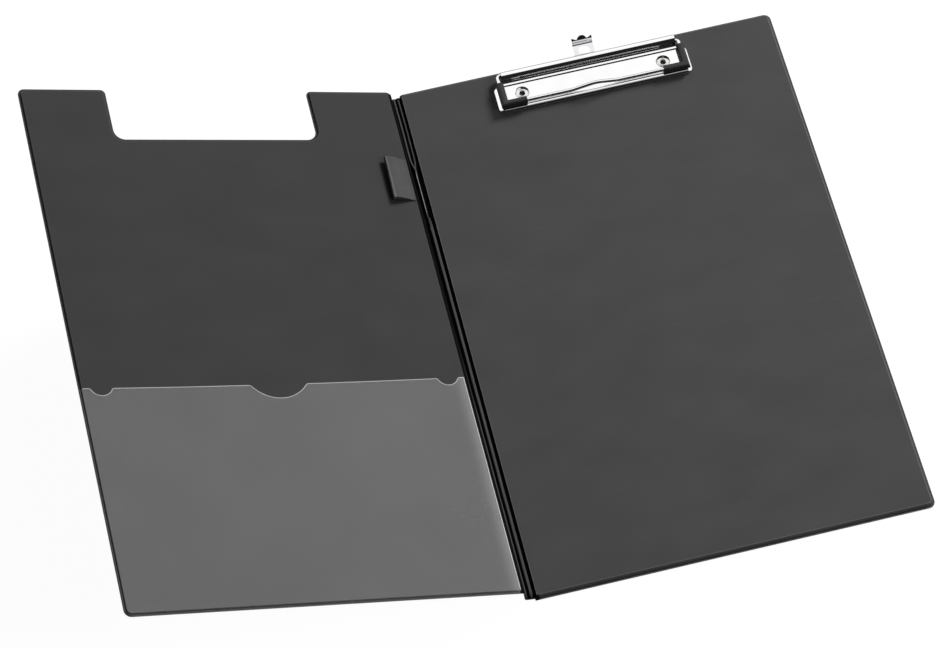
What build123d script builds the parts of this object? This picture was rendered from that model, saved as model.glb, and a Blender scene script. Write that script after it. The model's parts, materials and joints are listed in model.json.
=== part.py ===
from build123d import *
import math
import os

os.makedirs("parts", exist_ok=True)

# Fold-over clipboard, open, with its board flat and its cover raised.
# Millimetres, +Z up, +Y towards the clip, origin at the centre of the board's back face.

# Panels
board_width = 230.0
board_length = 340.0
cover_width = 230.0
cover_end_setback = 2.0
board_core_thickness = 2.4
cover_core_thickness = 1.4
panel_corner_radius = 4.0

# Welded sheet round the boards
skin_thickness = 0.3
weld_width = 1.6
fold_margin = 1.0
wall_draft = 20.0

# Spine between the two fold lines
spine_width = 10.3
spine_end_setback = 1.0
spine_rest_angle = 57.0
cover_rest_angle = 22.6
fold_gap = 0.5
ridge_height = 1.3
twin_ridge_height = 0.9
tail_width = 2.6
tail_height = 0.7
ridge_clearance = 0.35

# Notch in the cover's top edge
notch_width = 124.0
notch_depth = 34.5
notch_centre = 116.0
notch_mouth_radius = 3.0
notch_floor_radius = 6.0

# Film pocket on the cover
film_thickness = 0.2
film_border = 0.8
film_fold_margin = 0.1
pocket_height = 137.5
thumb_radius = 20.3
thumb_depth = 8.6
corner_cut_radius = 6.6
corner_cut_depth = 4.5
corner_cut_inset = 12.5
cut_lip_radius = 1.0

# Pen loop on the cover
loop_sheet = 0.5
loop_width = 28.5
loop_below_top = 64.0
loop_root = 2.4
loop_root_length = 2.6
loop_reach = 14.2
loop_rise = 4.9
loop_underside_rise = 1.6
loop_nose_radius = 1.0

# Clip plate, pressed from one sheet
plate_sheet = 0.8
plate_width = 119.0
plate_depth = 23.0
plate_rise = 2.2
plate_ear_setback = 4.0
plate_corner_radius = 3.0
plate_edge_chamfer = 0.6

# Rolled tube along the plate's rear
tube_setback = 7.5
tube_length = 107.0
tube_outer_radius = 3.2
tube_tail_gap = 0.05
tube_tail_length = 0.6

# Wire bail and its rubber grips
wire_diameter = 2.25
wire_pair_gap = 0.05
bail_leg_spacing = 111.2
bail_reach = 19.3
bail_bend_radius = 2.0
bail_overlap = 60.0
arch_width = 28.4
arch_rise = 3.0
arch_bend_radius = 16.0
grip_diameter = 4.7
grip_side_length = 14.4
grip_front_length = 13.4
grip_bore_clearance = 0.03

# Rivets
rivet_spacing = 87.0
rivet_setback = 12.1
rivet_shank_radius = 2.0
rivet_bore_radius = 1.5
rivet_head_radius = 4.0
rivet_head_thickness = 0.35
rivet_head_recess = 0.05
rivet_roll_radius = 2.85
rivet_roll_height = 0.75
rivet_roll_rounding = 0.34
rivet_hole_clearance = 0.1
rivet_head_clearance = 0.08
seat_floor_radius = 3.1
seat_mouth_radius = 4.3

# Hanging tab
tab_sheet = 0.7
tab_lift = 0.15
tab_width = 12.5
tab_head_width = 22.0
tab_head_length = 5.0
tab_travel_out = 4.0
tab_stop_clearance = 0.2
tab_hole_radius = 3.4
tab_hole_reach = 1.3
tab_bend_reach = 5.4
tab_bend_radius = 0.6
tab_tip_angle = 60.0
tab_tip_length = 2.9
tab_tip_corner = 1.2
tab_tip_corner_width = 2.6
tab_dome_radius = 3.0
tab_dome_rise = 2.2
stop_width = 3.2
stop_length = 1.6
stop_setback = 2.0
stop_floor_gap = 0.1

# Places that follow from the sizes
cover_length = board_length - 2 * cover_end_setback
spine_length = board_length - 2 * spine_end_setback
fold_x = -board_width / 2
fold_z = skin_thickness
board_rise = board_core_thickness + skin_thickness
cover_rise = cover_core_thickness + skin_thickness
board_top = fold_z + board_rise
plate_top = board_top + plate_rise
plate_under = plate_top - plate_sheet
tube_y = board_length / 2 - tube_setback
tube_z = plate_under + tube_outer_radius
wire_radius = wire_diameter / 2
wire_pair_offset = wire_radius + wire_pair_gap / 2
grip_radius = grip_diameter / 2
leg_x = bail_leg_spacing / 2
bar_y = tube_y - bail_reach
rivet_y = tube_y - rivet_setback
loop_v = cover_length / 2 - loop_below_top

# Each panel is drawn flat: the fold line on local Y, the outer sheet below Z = 0
board_frame = Plane(origin=(fold_x, 0, fold_z), x_dir=(1, 0, 0), z_dir=(0, 0, 1))


def folded_frame(origin, angle):
    """Frame of a panel that lies towards -X of its fold line and is raised by angle."""
    turn = math.radians(angle)
    along = (math.cos(turn), 0, -math.sin(turn))
    normal = (math.sin(turn), 0, math.cos(turn))
    return Plane(origin=origin, x_dir=along, z_dir=normal)


spine_frame = folded_frame((fold_x, 0, fold_z), spine_rest_angle)
cover_fold = spine_frame.from_local_coords((-spine_width, 0, 0))
cover_frame = folded_frame(cover_fold, cover_rest_angle)


def plain_outline(width, length, inset, fold_inset):
    """Flat panel outline, u from the fold line, drawn in by inset on the three free edges."""
    low = -length / 2 + inset
    high = length / 2 - inset
    far = width - inset
    points = [(fold_inset, low), (far, low), (far, high), (fold_inset, high)]
    return make_face(FilletPolyline(*points, radius=panel_corner_radius - inset, close=True))


def notched_outline(width, length, inset, fold_inset):
    """The cover's outline: a plain one with the clip notch in its top edge."""
    low = -length / 2 + inset
    high = length / 2 - inset
    far = width - inset
    notch_far = notch_centre + notch_width / 2 + inset
    notch_near = notch_centre - notch_width / 2 - inset
    floor = length / 2 - notch_depth - inset
    points = [
        (fold_inset, low),
        (far, low),
        (far, high),
        (notch_far, high),
        (notch_far, floor),
        (notch_near, floor),
        (notch_near, high),
        (fold_inset, high),
    ]
    corner = panel_corner_radius - inset
    mouth = notch_mouth_radius - inset
    bottom = notch_floor_radius + inset
    radii = [corner, corner, corner, mouth, bottom, bottom, mouth, corner]
    return make_face(FilletPolyline(*points, radius=radii, close=True))


def drafted_block(outline, height):
    """Outline raised to a height, with its walls leaning inwards."""
    return extrude(outline, amount=height, taper=wall_draft)


def flat_skin(outline_of, width, length):
    """Outer sheet: flat, reaching to the welded border's edge."""
    return Pos(0, 0, -skin_thickness) * extrude(outline_of(width, length, 0, 0), amount=skin_thickness)


def board_core(outline_of, width, length, thickness):
    """Greyboard that the two sheets enclose, cut square."""
    lean = (thickness + skin_thickness) * math.tan(math.radians(wall_draft))
    clear = skin_thickness + lean
    outline = outline_of(width, length, weld_width + clear, fold_margin + clear)
    return extrude(outline, amount=thickness)


def formed_skin(outline_of, width, length, core_thickness):
    """Inner sheet: formed over the greyboard and welded down flat all round."""
    border = extrude(outline_of(width, length, 0, 0), amount=skin_thickness)
    raised = outline_of(width, length, weld_width, fold_margin)
    inside = outline_of(width, length, weld_width + skin_thickness, fold_margin + skin_thickness)
    hump = drafted_block(raised, core_thickness + skin_thickness)
    return border + hump - drafted_block(inside, core_thickness)


def mirrored(shape):
    """Turn a panel drawn towards +X into one that lies towards -X of its fold line."""
    return mirror(shape, about=Plane.YZ)


def rivet_places():
    """The two rivet axes at the board's back."""
    return [Pos(side * rivet_spacing / 2, rivet_y, 0) for side in (-1, 1)]


def upright(radius, low, high):
    """Cylinder on local Z between two heights."""
    return Pos(0, 0, low) * Cylinder(radius, high - low, align=(Align.CENTER, Align.CENTER, Align.MIN))


def upright_cone(low_radius, high_radius, low, high):
    """Cone frustum on local Z between two heights."""
    cone = Cone(low_radius, high_radius, high - low, align=(Align.CENTER, Align.CENTER, Align.MIN))
    return Pos(0, 0, low) * cone


def make_rear_outer_skin():
    """Back sheet, drawn in under the two rivet heads."""
    sheet = board_frame * flat_skin(plain_outline, board_width, board_length)
    pocket = rivet_head_recess + rivet_head_thickness + rivet_head_clearance
    pocket_radius = rivet_head_radius + rivet_head_clearance
    hole_radius = rivet_shank_radius + rivet_hole_clearance
    for place in rivet_places():
        sheet += place * upright(pocket_radius + skin_thickness, 0, pocket + skin_thickness)
        sheet -= place * upright(pocket_radius, 0, pocket)
        sheet -= place * upright(hole_radius, 0, board_top)
    return sheet


def make_rear_core():
    """Board panel with its rivet holes, sunk behind where the back sheet is drawn in."""
    core = board_frame * board_core(plain_outline, board_width, board_length, board_core_thickness)
    pocket = rivet_head_recess + rivet_head_thickness + rivet_head_clearance + skin_thickness
    pocket_radius = rivet_head_radius + rivet_head_clearance + skin_thickness
    for place in rivet_places():
        core -= place * upright(pocket_radius, 0, pocket)
        core -= place * upright(rivet_shank_radius + rivet_hole_clearance, 0, board_top)
    return core


def make_rear_inner_skin():
    """Writing side of the board, pierced for the rivets."""
    sheet = board_frame * formed_skin(plain_outline, board_width, board_length, board_core_thickness)
    for place in rivet_places():
        sheet -= place * upright(rivet_shank_radius + rivet_hole_clearance, 0, plate_top)
    return sheet


def make_cover_core():
    """Cover panel under the two sheets."""
    core = board_core(notched_outline, cover_width, cover_length, cover_core_thickness)
    return cover_frame * mirrored(core)


def make_cover_outer_skin():
    """Sheet on the cover's outside."""
    return cover_frame * mirrored(flat_skin(notched_outline, cover_width, cover_length))


def make_cover_inner_skin():
    """Sheet on the cover's inside."""
    sheet = formed_skin(notched_outline, cover_width, cover_length, cover_core_thickness)
    return cover_frame * mirrored(sheet)


def pocket_mouth_cut(centre, radius, depth, mouth):
    """Round cut that dips below the pocket's mouth."""
    return Pos(centre, mouth - depth + radius) * Circle(radius)


def pocket_outline():
    """Area that the film covers: below the mouth, less the thumb cut and the corner cuts."""
    mouth = pocket_height - cover_length / 2
    raised_edge = fold_margin + cover_rise * math.tan(math.radians(wall_draft))
    near = raised_edge + film_fold_margin
    low = -cover_length / 2
    corners = [(near, low), (cover_width, low), (cover_width, mouth), (near, mouth)]
    area = make_face(Polyline(*corners, close=True))
    area -= pocket_mouth_cut(cover_width / 2, thumb_radius, thumb_depth, mouth)
    area -= pocket_mouth_cut(corner_cut_inset, corner_cut_radius, corner_cut_depth, mouth)
    area -= pocket_mouth_cut(cover_width - corner_cut_inset, corner_cut_radius, corner_cut_depth, mouth)
    rim = area.vertices().group_by(Axis.Y)[-1].sort_by(Axis.X)[1:-1]
    return fillet(rim, radius=cut_lip_radius)


def make_pocket_film():
    """Film over the cover's lower part, welded to its border and along its raised fold edge."""
    height = cover_rise - skin_thickness
    lean = skin_thickness * math.tan(math.radians(wall_draft))
    foot = weld_width + lean
    border = extrude(plain_outline(cover_width, cover_length, film_border, 0), amount=film_thickness)
    raised = plain_outline(cover_width, cover_length, foot - film_thickness, 0)
    inside = plain_outline(cover_width, cover_length, foot, -foot)
    hump = drafted_block(raised, height + film_thickness)
    film = Pos(0, 0, skin_thickness) * (border + hump - drafted_block(inside, height))
    film &= extrude(pocket_outline(), amount=cover_rise + 2 * film_thickness)
    return cover_frame * mirrored(film)


def make_pen_loop():
    """Strip of sheet folded back on itself, welded at its root and open along Y."""
    face = cover_rise
    root_end = loop_root + loop_root_length
    nose = loop_root + loop_reach
    under_end = nose - loop_nose_radius
    root_radius = loop_root_length / 2
    points = [
        (loop_root, face),
        (root_end, face),
        (under_end, face + loop_underside_rise),
        (nose, face + loop_rise),
        (root_end, face + 2 * loop_sheet),
        (loop_root, face + 2 * loop_sheet),
    ]
    radii = [0, root_radius, loop_nose_radius, loop_nose_radius, root_radius, 0]
    outside = make_face(FilletPolyline(*points, radius=radii, close=True))
    inner_points = [
        (root_end + loop_sheet, face + loop_sheet),
        (under_end - loop_sheet / 2, face + loop_underside_rise + loop_sheet),
        (nose - loop_sheet, face + loop_rise - loop_sheet),
    ]
    inner_radius = (loop_nose_radius - loop_sheet) / 2
    inside = make_face(FilletPolyline(*inner_points, radius=inner_radius, close=True))
    band = extrude(Plane.XZ * (outside - inside), amount=loop_width / 2, both=True)
    return cover_frame * mirrored(Pos(0, loop_v, 0) * band)


def ridge_arc(centre, width, height):
    """Circle whose top stands height above a chord of the given width."""
    radius = (width * width / 4 + height * height) / (2 * height)
    return (centre, height - radius, radius)


def strip_stretch(low, high, ridges):
    """Stretch of the spine's inner sheet between two places along Y, buckled into ridges."""
    start = fold_gap
    end = spine_width - fold_gap
    outline = Polyline((start, 0), (end, 0), (end, skin_thickness), (start, skin_thickness), close=True)
    profile = make_face(outline)
    above = Pos(spine_width / 2, spine_width / 2) * Rectangle(spine_width, spine_width)
    for centre, drop, radius in ridges:
        profile += (Pos(centre, drop) * Circle(radius)) & above
    for centre, drop, radius in ridges:
        profile -= (Pos(centre, drop) * Circle(radius - skin_thickness)) & above
    upright_profile = Plane.XZ * profile
    return Pos(0, high, 0) * extrude(upright_profile, amount=high - low)


def make_spine_outer_skin():
    """Outer strip between the fold lines."""
    strip = Rectangle(spine_width - 2 * fold_gap, spine_length)
    strip = Pos(spine_width / 2, 0, -skin_thickness) * extrude(strip, amount=skin_thickness)
    return spine_frame * mirrored(strip)


def make_spine_inner_skin():
    """Inner strip: one ridge below the pen loop, its welded tail, and two ridges above it."""
    zone_start = board_rise + ridge_clearance
    zone_end = spine_width - cover_rise - film_thickness - ridge_clearance
    zone = zone_end - zone_start
    middle = (zone_start + zone_end) / 2
    single = [ridge_arc(middle, zone, ridge_height)]
    tail = [ridge_arc(middle, tail_width, tail_height)]
    twin = [ridge_arc(middle + side * zone / 4, zone / 2, twin_ridge_height) for side in (-1, 1)]
    low = -spine_length / 2
    tail_low = loop_v - loop_width / 2
    tail_high = loop_v + loop_width / 2
    strip = strip_stretch(low, tail_low, single)
    strip += strip_stretch(tail_low, tail_high, tail)
    strip += strip_stretch(tail_high, spine_length / 2, twin)
    return spine_frame * mirrored(strip)


def plate_outline(inset):
    """Outline of the pressed plate from its front lip to its ears."""
    side = plate_width / 2 - inset
    front = tube_y - plate_depth + inset
    rear = tube_y - plate_ear_setback - inset
    points = [(-side, front), (side, front), (side, rear), (-side, rear)]
    return make_face(FilletPolyline(*points, radius=plate_corner_radius - inset, close=True))


def tube_profile():
    """Section of the rolled rear, drawn about the tube's axis with local X towards the front."""
    outer = tube_outer_radius
    inner = tube_outer_radius - plate_sheet
    flare = inner - plate_sheet - tube_tail_gap
    flare_centre = outer + flare
    tail_end = flare_centre + tube_tail_length
    outside = CenterArc((0, 0), outer, 0, 270)
    inside = CenterArc((0, 0), inner, 0, 270)
    flare_top = CenterArc((flare_centre, 0), flare, 180, 90)
    flare_bottom = CenterArc((flare_centre, 0), flare + plate_sheet, 180, 90)
    tail_top = Line(flare_top @ 1, (tail_end, -flare))
    tail_nose = Line((tail_end, -flare), (tail_end, -flare - plate_sheet))
    tail_bottom = Line((tail_end, -flare - plate_sheet), flare_bottom @ 1)
    root = Line(outside @ 1, inside @ 1)
    edges = [outside, inside, flare_top, flare_bottom, tail_top, tail_nose, tail_bottom, root]
    return make_face(Curve() + edges)


def rivet_seat():
    """Cup pressed down to the board for one rivet, as the shape to add and the shape to cut."""
    floor = board_top + plate_sheet
    hollow = upright_cone(seat_floor_radius, seat_mouth_radius, floor, plate_top)
    outer_floor = seat_floor_radius + plate_sheet
    cup = upright_cone(outer_floor, seat_mouth_radius + plate_sheet, board_top, plate_top)
    hole = upright(rivet_shank_radius + rivet_hole_clearance, board_top, plate_top)
    return cup, hollow + hole


def make_clip_plate():
    """Plate with turned-down edges, rivet seats, two lugs that stop the tab, and the rolled tube."""
    pan = extrude(Pos(0, 0, board_top) * plate_outline(0), amount=plate_rise)
    pan = chamfer(pan.faces().sort_by(Axis.Z)[-1].edges(), length=plate_edge_chamfer)
    pan -= Pos(0, 0, board_top) * extrude(plate_outline(plate_sheet), amount=plate_rise - plate_sheet)
    ear_rear = tube_y - plate_ear_setback
    doorway = Box(tube_length, 2 * plate_sheet + plate_corner_radius, plate_rise - plate_sheet)
    pan -= Pos(0, ear_rear, (board_top + plate_under) / 2) * doorway
    tongue_depth = plate_ear_setback + plate_corner_radius
    tongue = Box(tube_length, tongue_depth, plate_sheet)
    pan += Pos(0, tube_y - tongue_depth / 2, plate_top - plate_sheet / 2) * tongue
    section_frame = Plane(origin=(0, tube_y, tube_z), x_dir=(0, -1, 0), z_dir=(-1, 0, 0))
    pan += extrude(section_frame * tube_profile(), amount=tube_length / 2, both=True)
    cup, cut = rivet_seat()
    for place in rivet_places():
        pan += place * cup
        pan -= place * cut
    stop_x = tab_width / 2 + tab_stop_clearance + stop_width / 2
    stop_floor = board_top + stop_floor_gap
    lug_align = (Align.CENTER, Align.CENTER, Align.MIN)
    lug = Box(stop_width, stop_length, plate_top - plate_sheet / 2 - stop_floor, align=lug_align)
    for side in (-1, 1):
        pan += Pos(side * stop_x, tube_y - stop_setback, stop_floor) * lug
    return pan


def make_rivets():
    """Tubular rivets: flat head behind, tube through the board, rolled rim in the seat."""
    head = rivet_head_recess
    seat = board_top + plate_sheet
    rim = seat + rivet_roll_height
    roll = rivet_roll_rounding
    section = Polyline(
        (rivet_bore_radius, head),
        (rivet_head_radius, head),
        (rivet_head_radius, head + rivet_head_thickness),
        (rivet_shank_radius, head + rivet_head_thickness),
        (rivet_shank_radius, seat),
        (rivet_roll_radius, seat),
        (rivet_roll_radius - roll, rim),
        (rivet_bore_radius, rim),
        close=True,
    )
    rivet = revolve(make_face(Plane.XZ * section), axis=Axis.Z)
    return Compound(children=[place * rivet for place in rivet_places()])


def bail_path():
    """Centre line of the wire, from one end inside the tube round the bar to the other."""
    left_y = tube_y + wire_pair_offset
    right_y = tube_y - wire_pair_offset
    end_x = bail_overlap / 2
    points = [
        (end_x, left_y, tube_z),
        (-leg_x, left_y, tube_z),
        (-leg_x, bar_y, tube_z),
        (-arch_width / 2, bar_y, tube_z),
        (0, bar_y, tube_z + arch_rise),
        (arch_width / 2, bar_y, tube_z),
        (leg_x, bar_y, tube_z),
        (leg_x, right_y, tube_z),
        (-end_x, right_y, tube_z),
    ]
    bend = bail_bend_radius
    arch = arch_bend_radius
    return FilletPolyline(*points, radius=[bend, 0, arch, arch, arch, 0, bend])


def wire_along(path, radius):
    """Round wire swept along a path, with its tight corners mitred."""
    section = Plane(origin=path @ 0, z_dir=path % 0) * Circle(radius)
    return sweep(section, path=path, transition=Transition.RIGHT)


def make_wire_bail():
    """Spring wire, bent from one length."""
    return wire_along(bail_path(), wire_radius)


def make_grip(side):
    """Rubber corner sleeve on one end of the bar."""
    path = Polyline(
        (side * leg_x, bar_y + grip_side_length, tube_z),
        (side * leg_x, bar_y, tube_z),
        (side * (leg_x - grip_front_length), bar_y, tube_z),
    )
    return wire_along(path, grip_radius) - wire_along(path, wire_radius + grip_bore_clearance)


def make_hanger_tab():
    """Flat tab with a wide inner end, a hanging hole and a finger end bent up."""
    low = board_top + tab_lift
    bend_y = board_length / 2 + tab_bend_reach
    shoulder_y = tube_y - stop_setback - stop_length / 2 - tab_travel_out - tab_stop_clearance
    head_y = shoulder_y - tab_head_length
    neck_length = bend_y - head_y
    flat = Pos(0, head_y + neck_length / 2) * Rectangle(tab_width, neck_length)
    flat += Pos(0, head_y + tab_head_length / 2) * Rectangle(tab_head_width, tab_head_length)
    flat -= Pos(0, board_length / 2 + tab_hole_reach) * Circle(tab_hole_radius)
    tab = Pos(0, 0, low) * extrude(flat, amount=tab_sheet)
    turn = math.radians(tab_tip_angle)
    outer = tab_bend_radius + tab_sheet
    elbow = CenterArc((0, 0), outer, -90, tab_tip_angle)
    inner_elbow = CenterArc((0, 0), tab_bend_radius, -90, tab_tip_angle)
    caps = [Line(elbow @ 0, inner_elbow @ 0), Line(elbow @ 1, inner_elbow @ 1)]
    section = make_face(Curve() + [elbow, inner_elbow] + caps)
    bend_frame = Plane(origin=(0, bend_y, low + outer), x_dir=(0, 1, 0), z_dir=(1, 0, 0))
    tab += extrude(bend_frame * section, amount=tab_width / 2, both=True)
    lift = Vector(0, math.sin(turn), -math.cos(turn)) * outer
    tip_frame = Plane(
        origin=Vector(0, bend_y, low + outer) + lift,
        x_dir=(1, 0, 0),
        z_dir=(0, -math.sin(turn), math.cos(turn)),
    )
    half = tab_width / 2
    shoulder = half - tab_tip_corner_width
    points = [
        (-half, 0),
        (half, 0),
        (half, tab_tip_length + tab_tip_corner),
        (shoulder, tab_tip_length),
        (-shoulder, tab_tip_length),
        (-half, tab_tip_length + tab_tip_corner),
    ]
    tip = make_face(Polyline(*points, close=True))
    dome_centre = tab_tip_length + tab_dome_rise - tab_dome_radius
    tip += Pos(0, dome_centre) * Circle(tab_dome_radius)
    tab += tip_frame * extrude(tip, amount=tab_sheet)
    return tab


nodes = {
    "rear_outer_skin": make_rear_outer_skin(),
    "rear_board_core": make_rear_core(),
    "rear_inner_skin": make_rear_inner_skin(),
    "spine_outer_skin": make_spine_outer_skin(),
    "spine_inner_skin": make_spine_inner_skin(),
    "cover_outer_skin": make_cover_outer_skin(),
    "cover_board_core": make_cover_core(),
    "cover_inner_skin": make_cover_inner_skin(),
    "pocket_film": make_pocket_film(),
    "pen_loop": make_pen_loop(),
    "clip_base_plate": make_clip_plate(),
    "clip_rivets": make_rivets(),
    "wire_bail": make_wire_bail(),
    "left_corner_grip": make_grip(-1),
    "right_corner_grip": make_grip(1),
    "hanger_tab": make_hanger_tab(),
}

for name, shape in nodes.items():
    export_step(shape, f"parts/{name}.step")

print(f"cover fold line at x {cover_fold.X:.3f}, z {cover_fold.Z:.3f}")
print(f"tube axis at y {tube_y:.3f}, z {tube_z:.3f}")
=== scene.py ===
import json
import math

import bmesh
import bpy
from mathutils import Matrix, Vector, noise


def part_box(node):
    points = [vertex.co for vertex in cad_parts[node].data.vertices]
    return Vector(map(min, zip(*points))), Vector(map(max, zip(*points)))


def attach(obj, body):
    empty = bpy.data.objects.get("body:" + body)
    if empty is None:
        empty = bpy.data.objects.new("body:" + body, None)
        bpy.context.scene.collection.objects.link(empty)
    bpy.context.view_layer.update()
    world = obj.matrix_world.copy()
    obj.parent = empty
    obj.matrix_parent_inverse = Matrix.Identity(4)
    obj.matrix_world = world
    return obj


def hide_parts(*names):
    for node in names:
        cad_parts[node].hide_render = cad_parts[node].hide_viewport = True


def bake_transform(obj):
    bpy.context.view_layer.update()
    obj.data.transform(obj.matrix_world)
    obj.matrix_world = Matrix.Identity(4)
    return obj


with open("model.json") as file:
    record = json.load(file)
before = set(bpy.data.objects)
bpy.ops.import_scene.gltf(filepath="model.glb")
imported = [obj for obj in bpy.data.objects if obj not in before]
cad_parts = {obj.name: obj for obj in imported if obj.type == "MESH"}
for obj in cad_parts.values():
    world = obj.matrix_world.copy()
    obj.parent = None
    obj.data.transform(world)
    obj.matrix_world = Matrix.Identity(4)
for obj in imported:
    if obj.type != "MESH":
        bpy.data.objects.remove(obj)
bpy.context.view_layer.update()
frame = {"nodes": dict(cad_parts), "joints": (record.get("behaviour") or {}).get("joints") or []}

# A fold-over clipboard, open: board flat, cover raised, clip at the far end.
# Metres, +Z up, +Y towards the clip, origin at the centre of the board's back face.

MM = 0.001
CLOSE = 1e-6

# Angles, in degrees, over which an edge is shaded sharp
SHEET_EDGE = 35.0
STEEL_EDGE = 30.0
RUBBER_EDGE = 40.0
SOFT_EDGE = 60.0

# Folds, axes and boxes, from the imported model
joints = {joint["name"]: joint for joint in frame["joints"]}
SPINE_FOLD = Vector(joints["spine_fold"]["pos_m"])
COVER_FOLD = Vector(joints["cover_fold"]["pos_m"])
TUBE_AXIS = Vector(joints["bail_pivot"]["pos_m"])
board_low, board_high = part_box("rear_inner_skin")
cover_low, cover_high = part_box("cover_inner_skin")
plate_low, plate_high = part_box("clip_base_plate")
tab_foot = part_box("hanger_tab")[0].y

# Panels and their welded sheets
COVER_TILT = math.radians(22.6)
COVER_WIDTH = (COVER_FOLD.x - cover_low.x) / math.cos(COVER_TILT)
COVER_HALF = cover_high.y
COVER_RISE = 1.45 * MM
BOARD_TOP = board_high.z
BOARD_RISE = BOARD_TOP - SPINE_FOLD.z
SHEET = 0.3 * MM
WELD_WIDTH = 1.2 * MM
WELD_GROOVE = 0.25 * MM
WELD_DEPTH = 0.08 * MM
BACK_GROOVE = 0.3 * MM
BACK_DEPTH = 0.1 * MM
BOARD_FOLD_MARGIN = 0.3 * MM
COVER_FOLD_MARGIN = 1.5 * MM
MARGIN_FADE = 5.0 * MM
CORNER_RADIUS = 4.0 * MM
BOARD_FOLD_CORNER = 3.4 * MM
COVER_FOLD_CORNER = 2.6 * MM
CORNER_STEPS = 8
PANEL_ROUNDING = 0.5 * MM
ROUNDING_STEPS = 5
WALL_LEAN = 0.2
CREST_WIDTH = 0.35 * MM

# Painted light: rims and crests painted paler as painted highlights, and the width of the painted shade at a
# fold
FOOT_HIGHLIGHT = 1.0
RIM_HIGHLIGHT = 0.17
CREST_HIGHLIGHT = 0.31
PAINTED_SHADE_REACH = 2.4 * MM

# Notch in the cover's top edge
NOTCH_NEAR = 54.0 * MM
NOTCH_FAR = 178.0 * MM
NOTCH_DEPTH = 34.5 * MM
NOTCH_MOUTH_RADIUS = 3.0 * MM
NOTCH_FLOOR_RADIUS = 6.5 * MM

# Spine: a floor beside the board and a wall up to the cover's fold
SPINE_SHEET = 0.25 * MM
SPINE_ROWS = 280
COARSE_ROWS = SPINE_ROWS // 4
FLOOR_COLUMNS = 64
WALL_COLUMNS = 12
OUTER_COLUMNS = 16
FLOOR_END = 5.05 * MM
FLOOR_REST = 0.62 * MM
WALL_SEAM = 4.2 * MM
WALL_OFFSET = 0.12 * MM
FOOT_SHARE = 0.12
SEAM_SHARE = 0.3
LOOP_LOW = 83.0 * MM
LOOP_HIGH = 115.0 * MM
PLEAT_X = -2.4 * MM
RIDGE_ROUNDNESS = 0.8
RIDGE_WANDER = 0.12 * MM
RIDGE_SWAY = 0.12
CRUMPLE = 1.6 * MM
CRUMPLE_Y = LOOP_LOW - 4.0 * MM
CRUMPLE_REACH = 8.0 * MM
FLOOR_SLOPE = 0.05
FOLD_EASE = 0.8 * MM
END_EASE = 4.0 * MM
WELDED_SHARE = 0.35

# Where the spine's sheets end, at the cover's fold and at the board's
SPINE_FOOT = (-167.6 * MM, -169.0 * MM)
SPINE_TOP = (167.1 * MM, 168.2 * MM)

# Film pocket
FILM = 0.2 * MM
FILM_GAP = 0.05 * MM
FILM_BORDER = 0.55 * MM
FILM_NEAR = 2.35 * MM
FILM_EDGE = 0.4 * MM
POCKET_MOUTH = 137.5 * MM - COVER_HALF
POCKET_BOW = 1.1 * MM
THUMB_RADIUS = 20.3 * MM
THUMB_DEPTH = 8.6 * MM
CORNER_CUT_RADIUS = 6.6 * MM
CORNER_CUT_DEPTH = 4.5 * MM
CORNER_CUT_INSET = 12.5 * MM
CUT_LIP = 1.0 * MM
CUT_STEPS = 20
CUT_LIP_STEPS = 4
BOW_CUTS = 10

# Pen loop
LOOP_SHEET = 0.5 * MM
LOOP_CENTRE = COVER_HALF - 64.0 * MM
LOOP_HALF_WIDTH = 14.25 * MM
LOOP_NOSE = Vector((16.75 * MM, COVER_RISE + 3.2 * MM))
LOOP_NOSE_REACH = Vector((0.8 * MM, 1.35 * MM))
LOOP_NOSE_STEPS = 6
LOOP_COLUMNS = 96
LOOP_ROWS = 40
LOOP_WARP = 0.25 * MM
LOOP_SWING = 0.15 * MM
HEM_RISE = 0.1 * MM
HEM_FROM = 0.88
HEM_TO = 0.97
HEM_EASE = 0.03

# Clip plate, rolled tube and rivets
PLATE_SHEET = 0.8 * MM
PLATE_CORNER = 3.4 * MM
TUBE_RADIUS = 3.2 * MM
TUBE_HALF = 53.5 * MM
PLATE_TOP = TUBE_AXIS.z - TUBE_RADIUS + PLATE_SHEET
PLATE_REAR = TUBE_AXIS.y - 4.0 * MM
REAR_CUT = 155.3 * MM
REAR_GAP = 0.7 * MM
FLARE_RADIUS = 2.35 * MM
TAIL_LENGTH = 0.6 * MM
TUBE_STEPS = 40
FLARE_STEPS = 16
SEAT_MOUTH_RADIUS = 4.3 * MM
SEAT_FLOOR = BOARD_TOP + PLATE_SHEET
SEAT_STEPS = 40
RIVET_SPACING = 87.0 * MM
RIVET_Y = TUBE_AXIS.y - 12.1 * MM
RIVET_HOLE = 2.1 * MM
RIVET_STEPS = 40
RIM_STEPS = 10
HEAD_POCKET = 4.15 * MM
HEAD_POCKET_DEPTH = 0.48 * MM
HEAD_POCKET_EASE = 0.15 * MM

# Wire and grips
WIRE_RADIUS = 1.125 * MM
WIRE_PAIR_OFFSET = 1.15 * MM
WIRE_END = 30.0 * MM
WIRE_BEND = 2.0 * MM
WIRE_ROUNDNESS = 8
LEG_X = 55.6 * MM
BAR_Y = TUBE_AXIS.y - 19.3 * MM
ARCH_HALF = 14.2 * MM
ARCH_RISE = 3.0 * MM
ARCH_BEND = 18.0 * MM
GRIP_RADIUS = 2.35 * MM
GRIP_SIDE = 14.4 * MM
GRIP_FRONT = 13.4 * MM
GRIP_STEPS = 48

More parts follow.
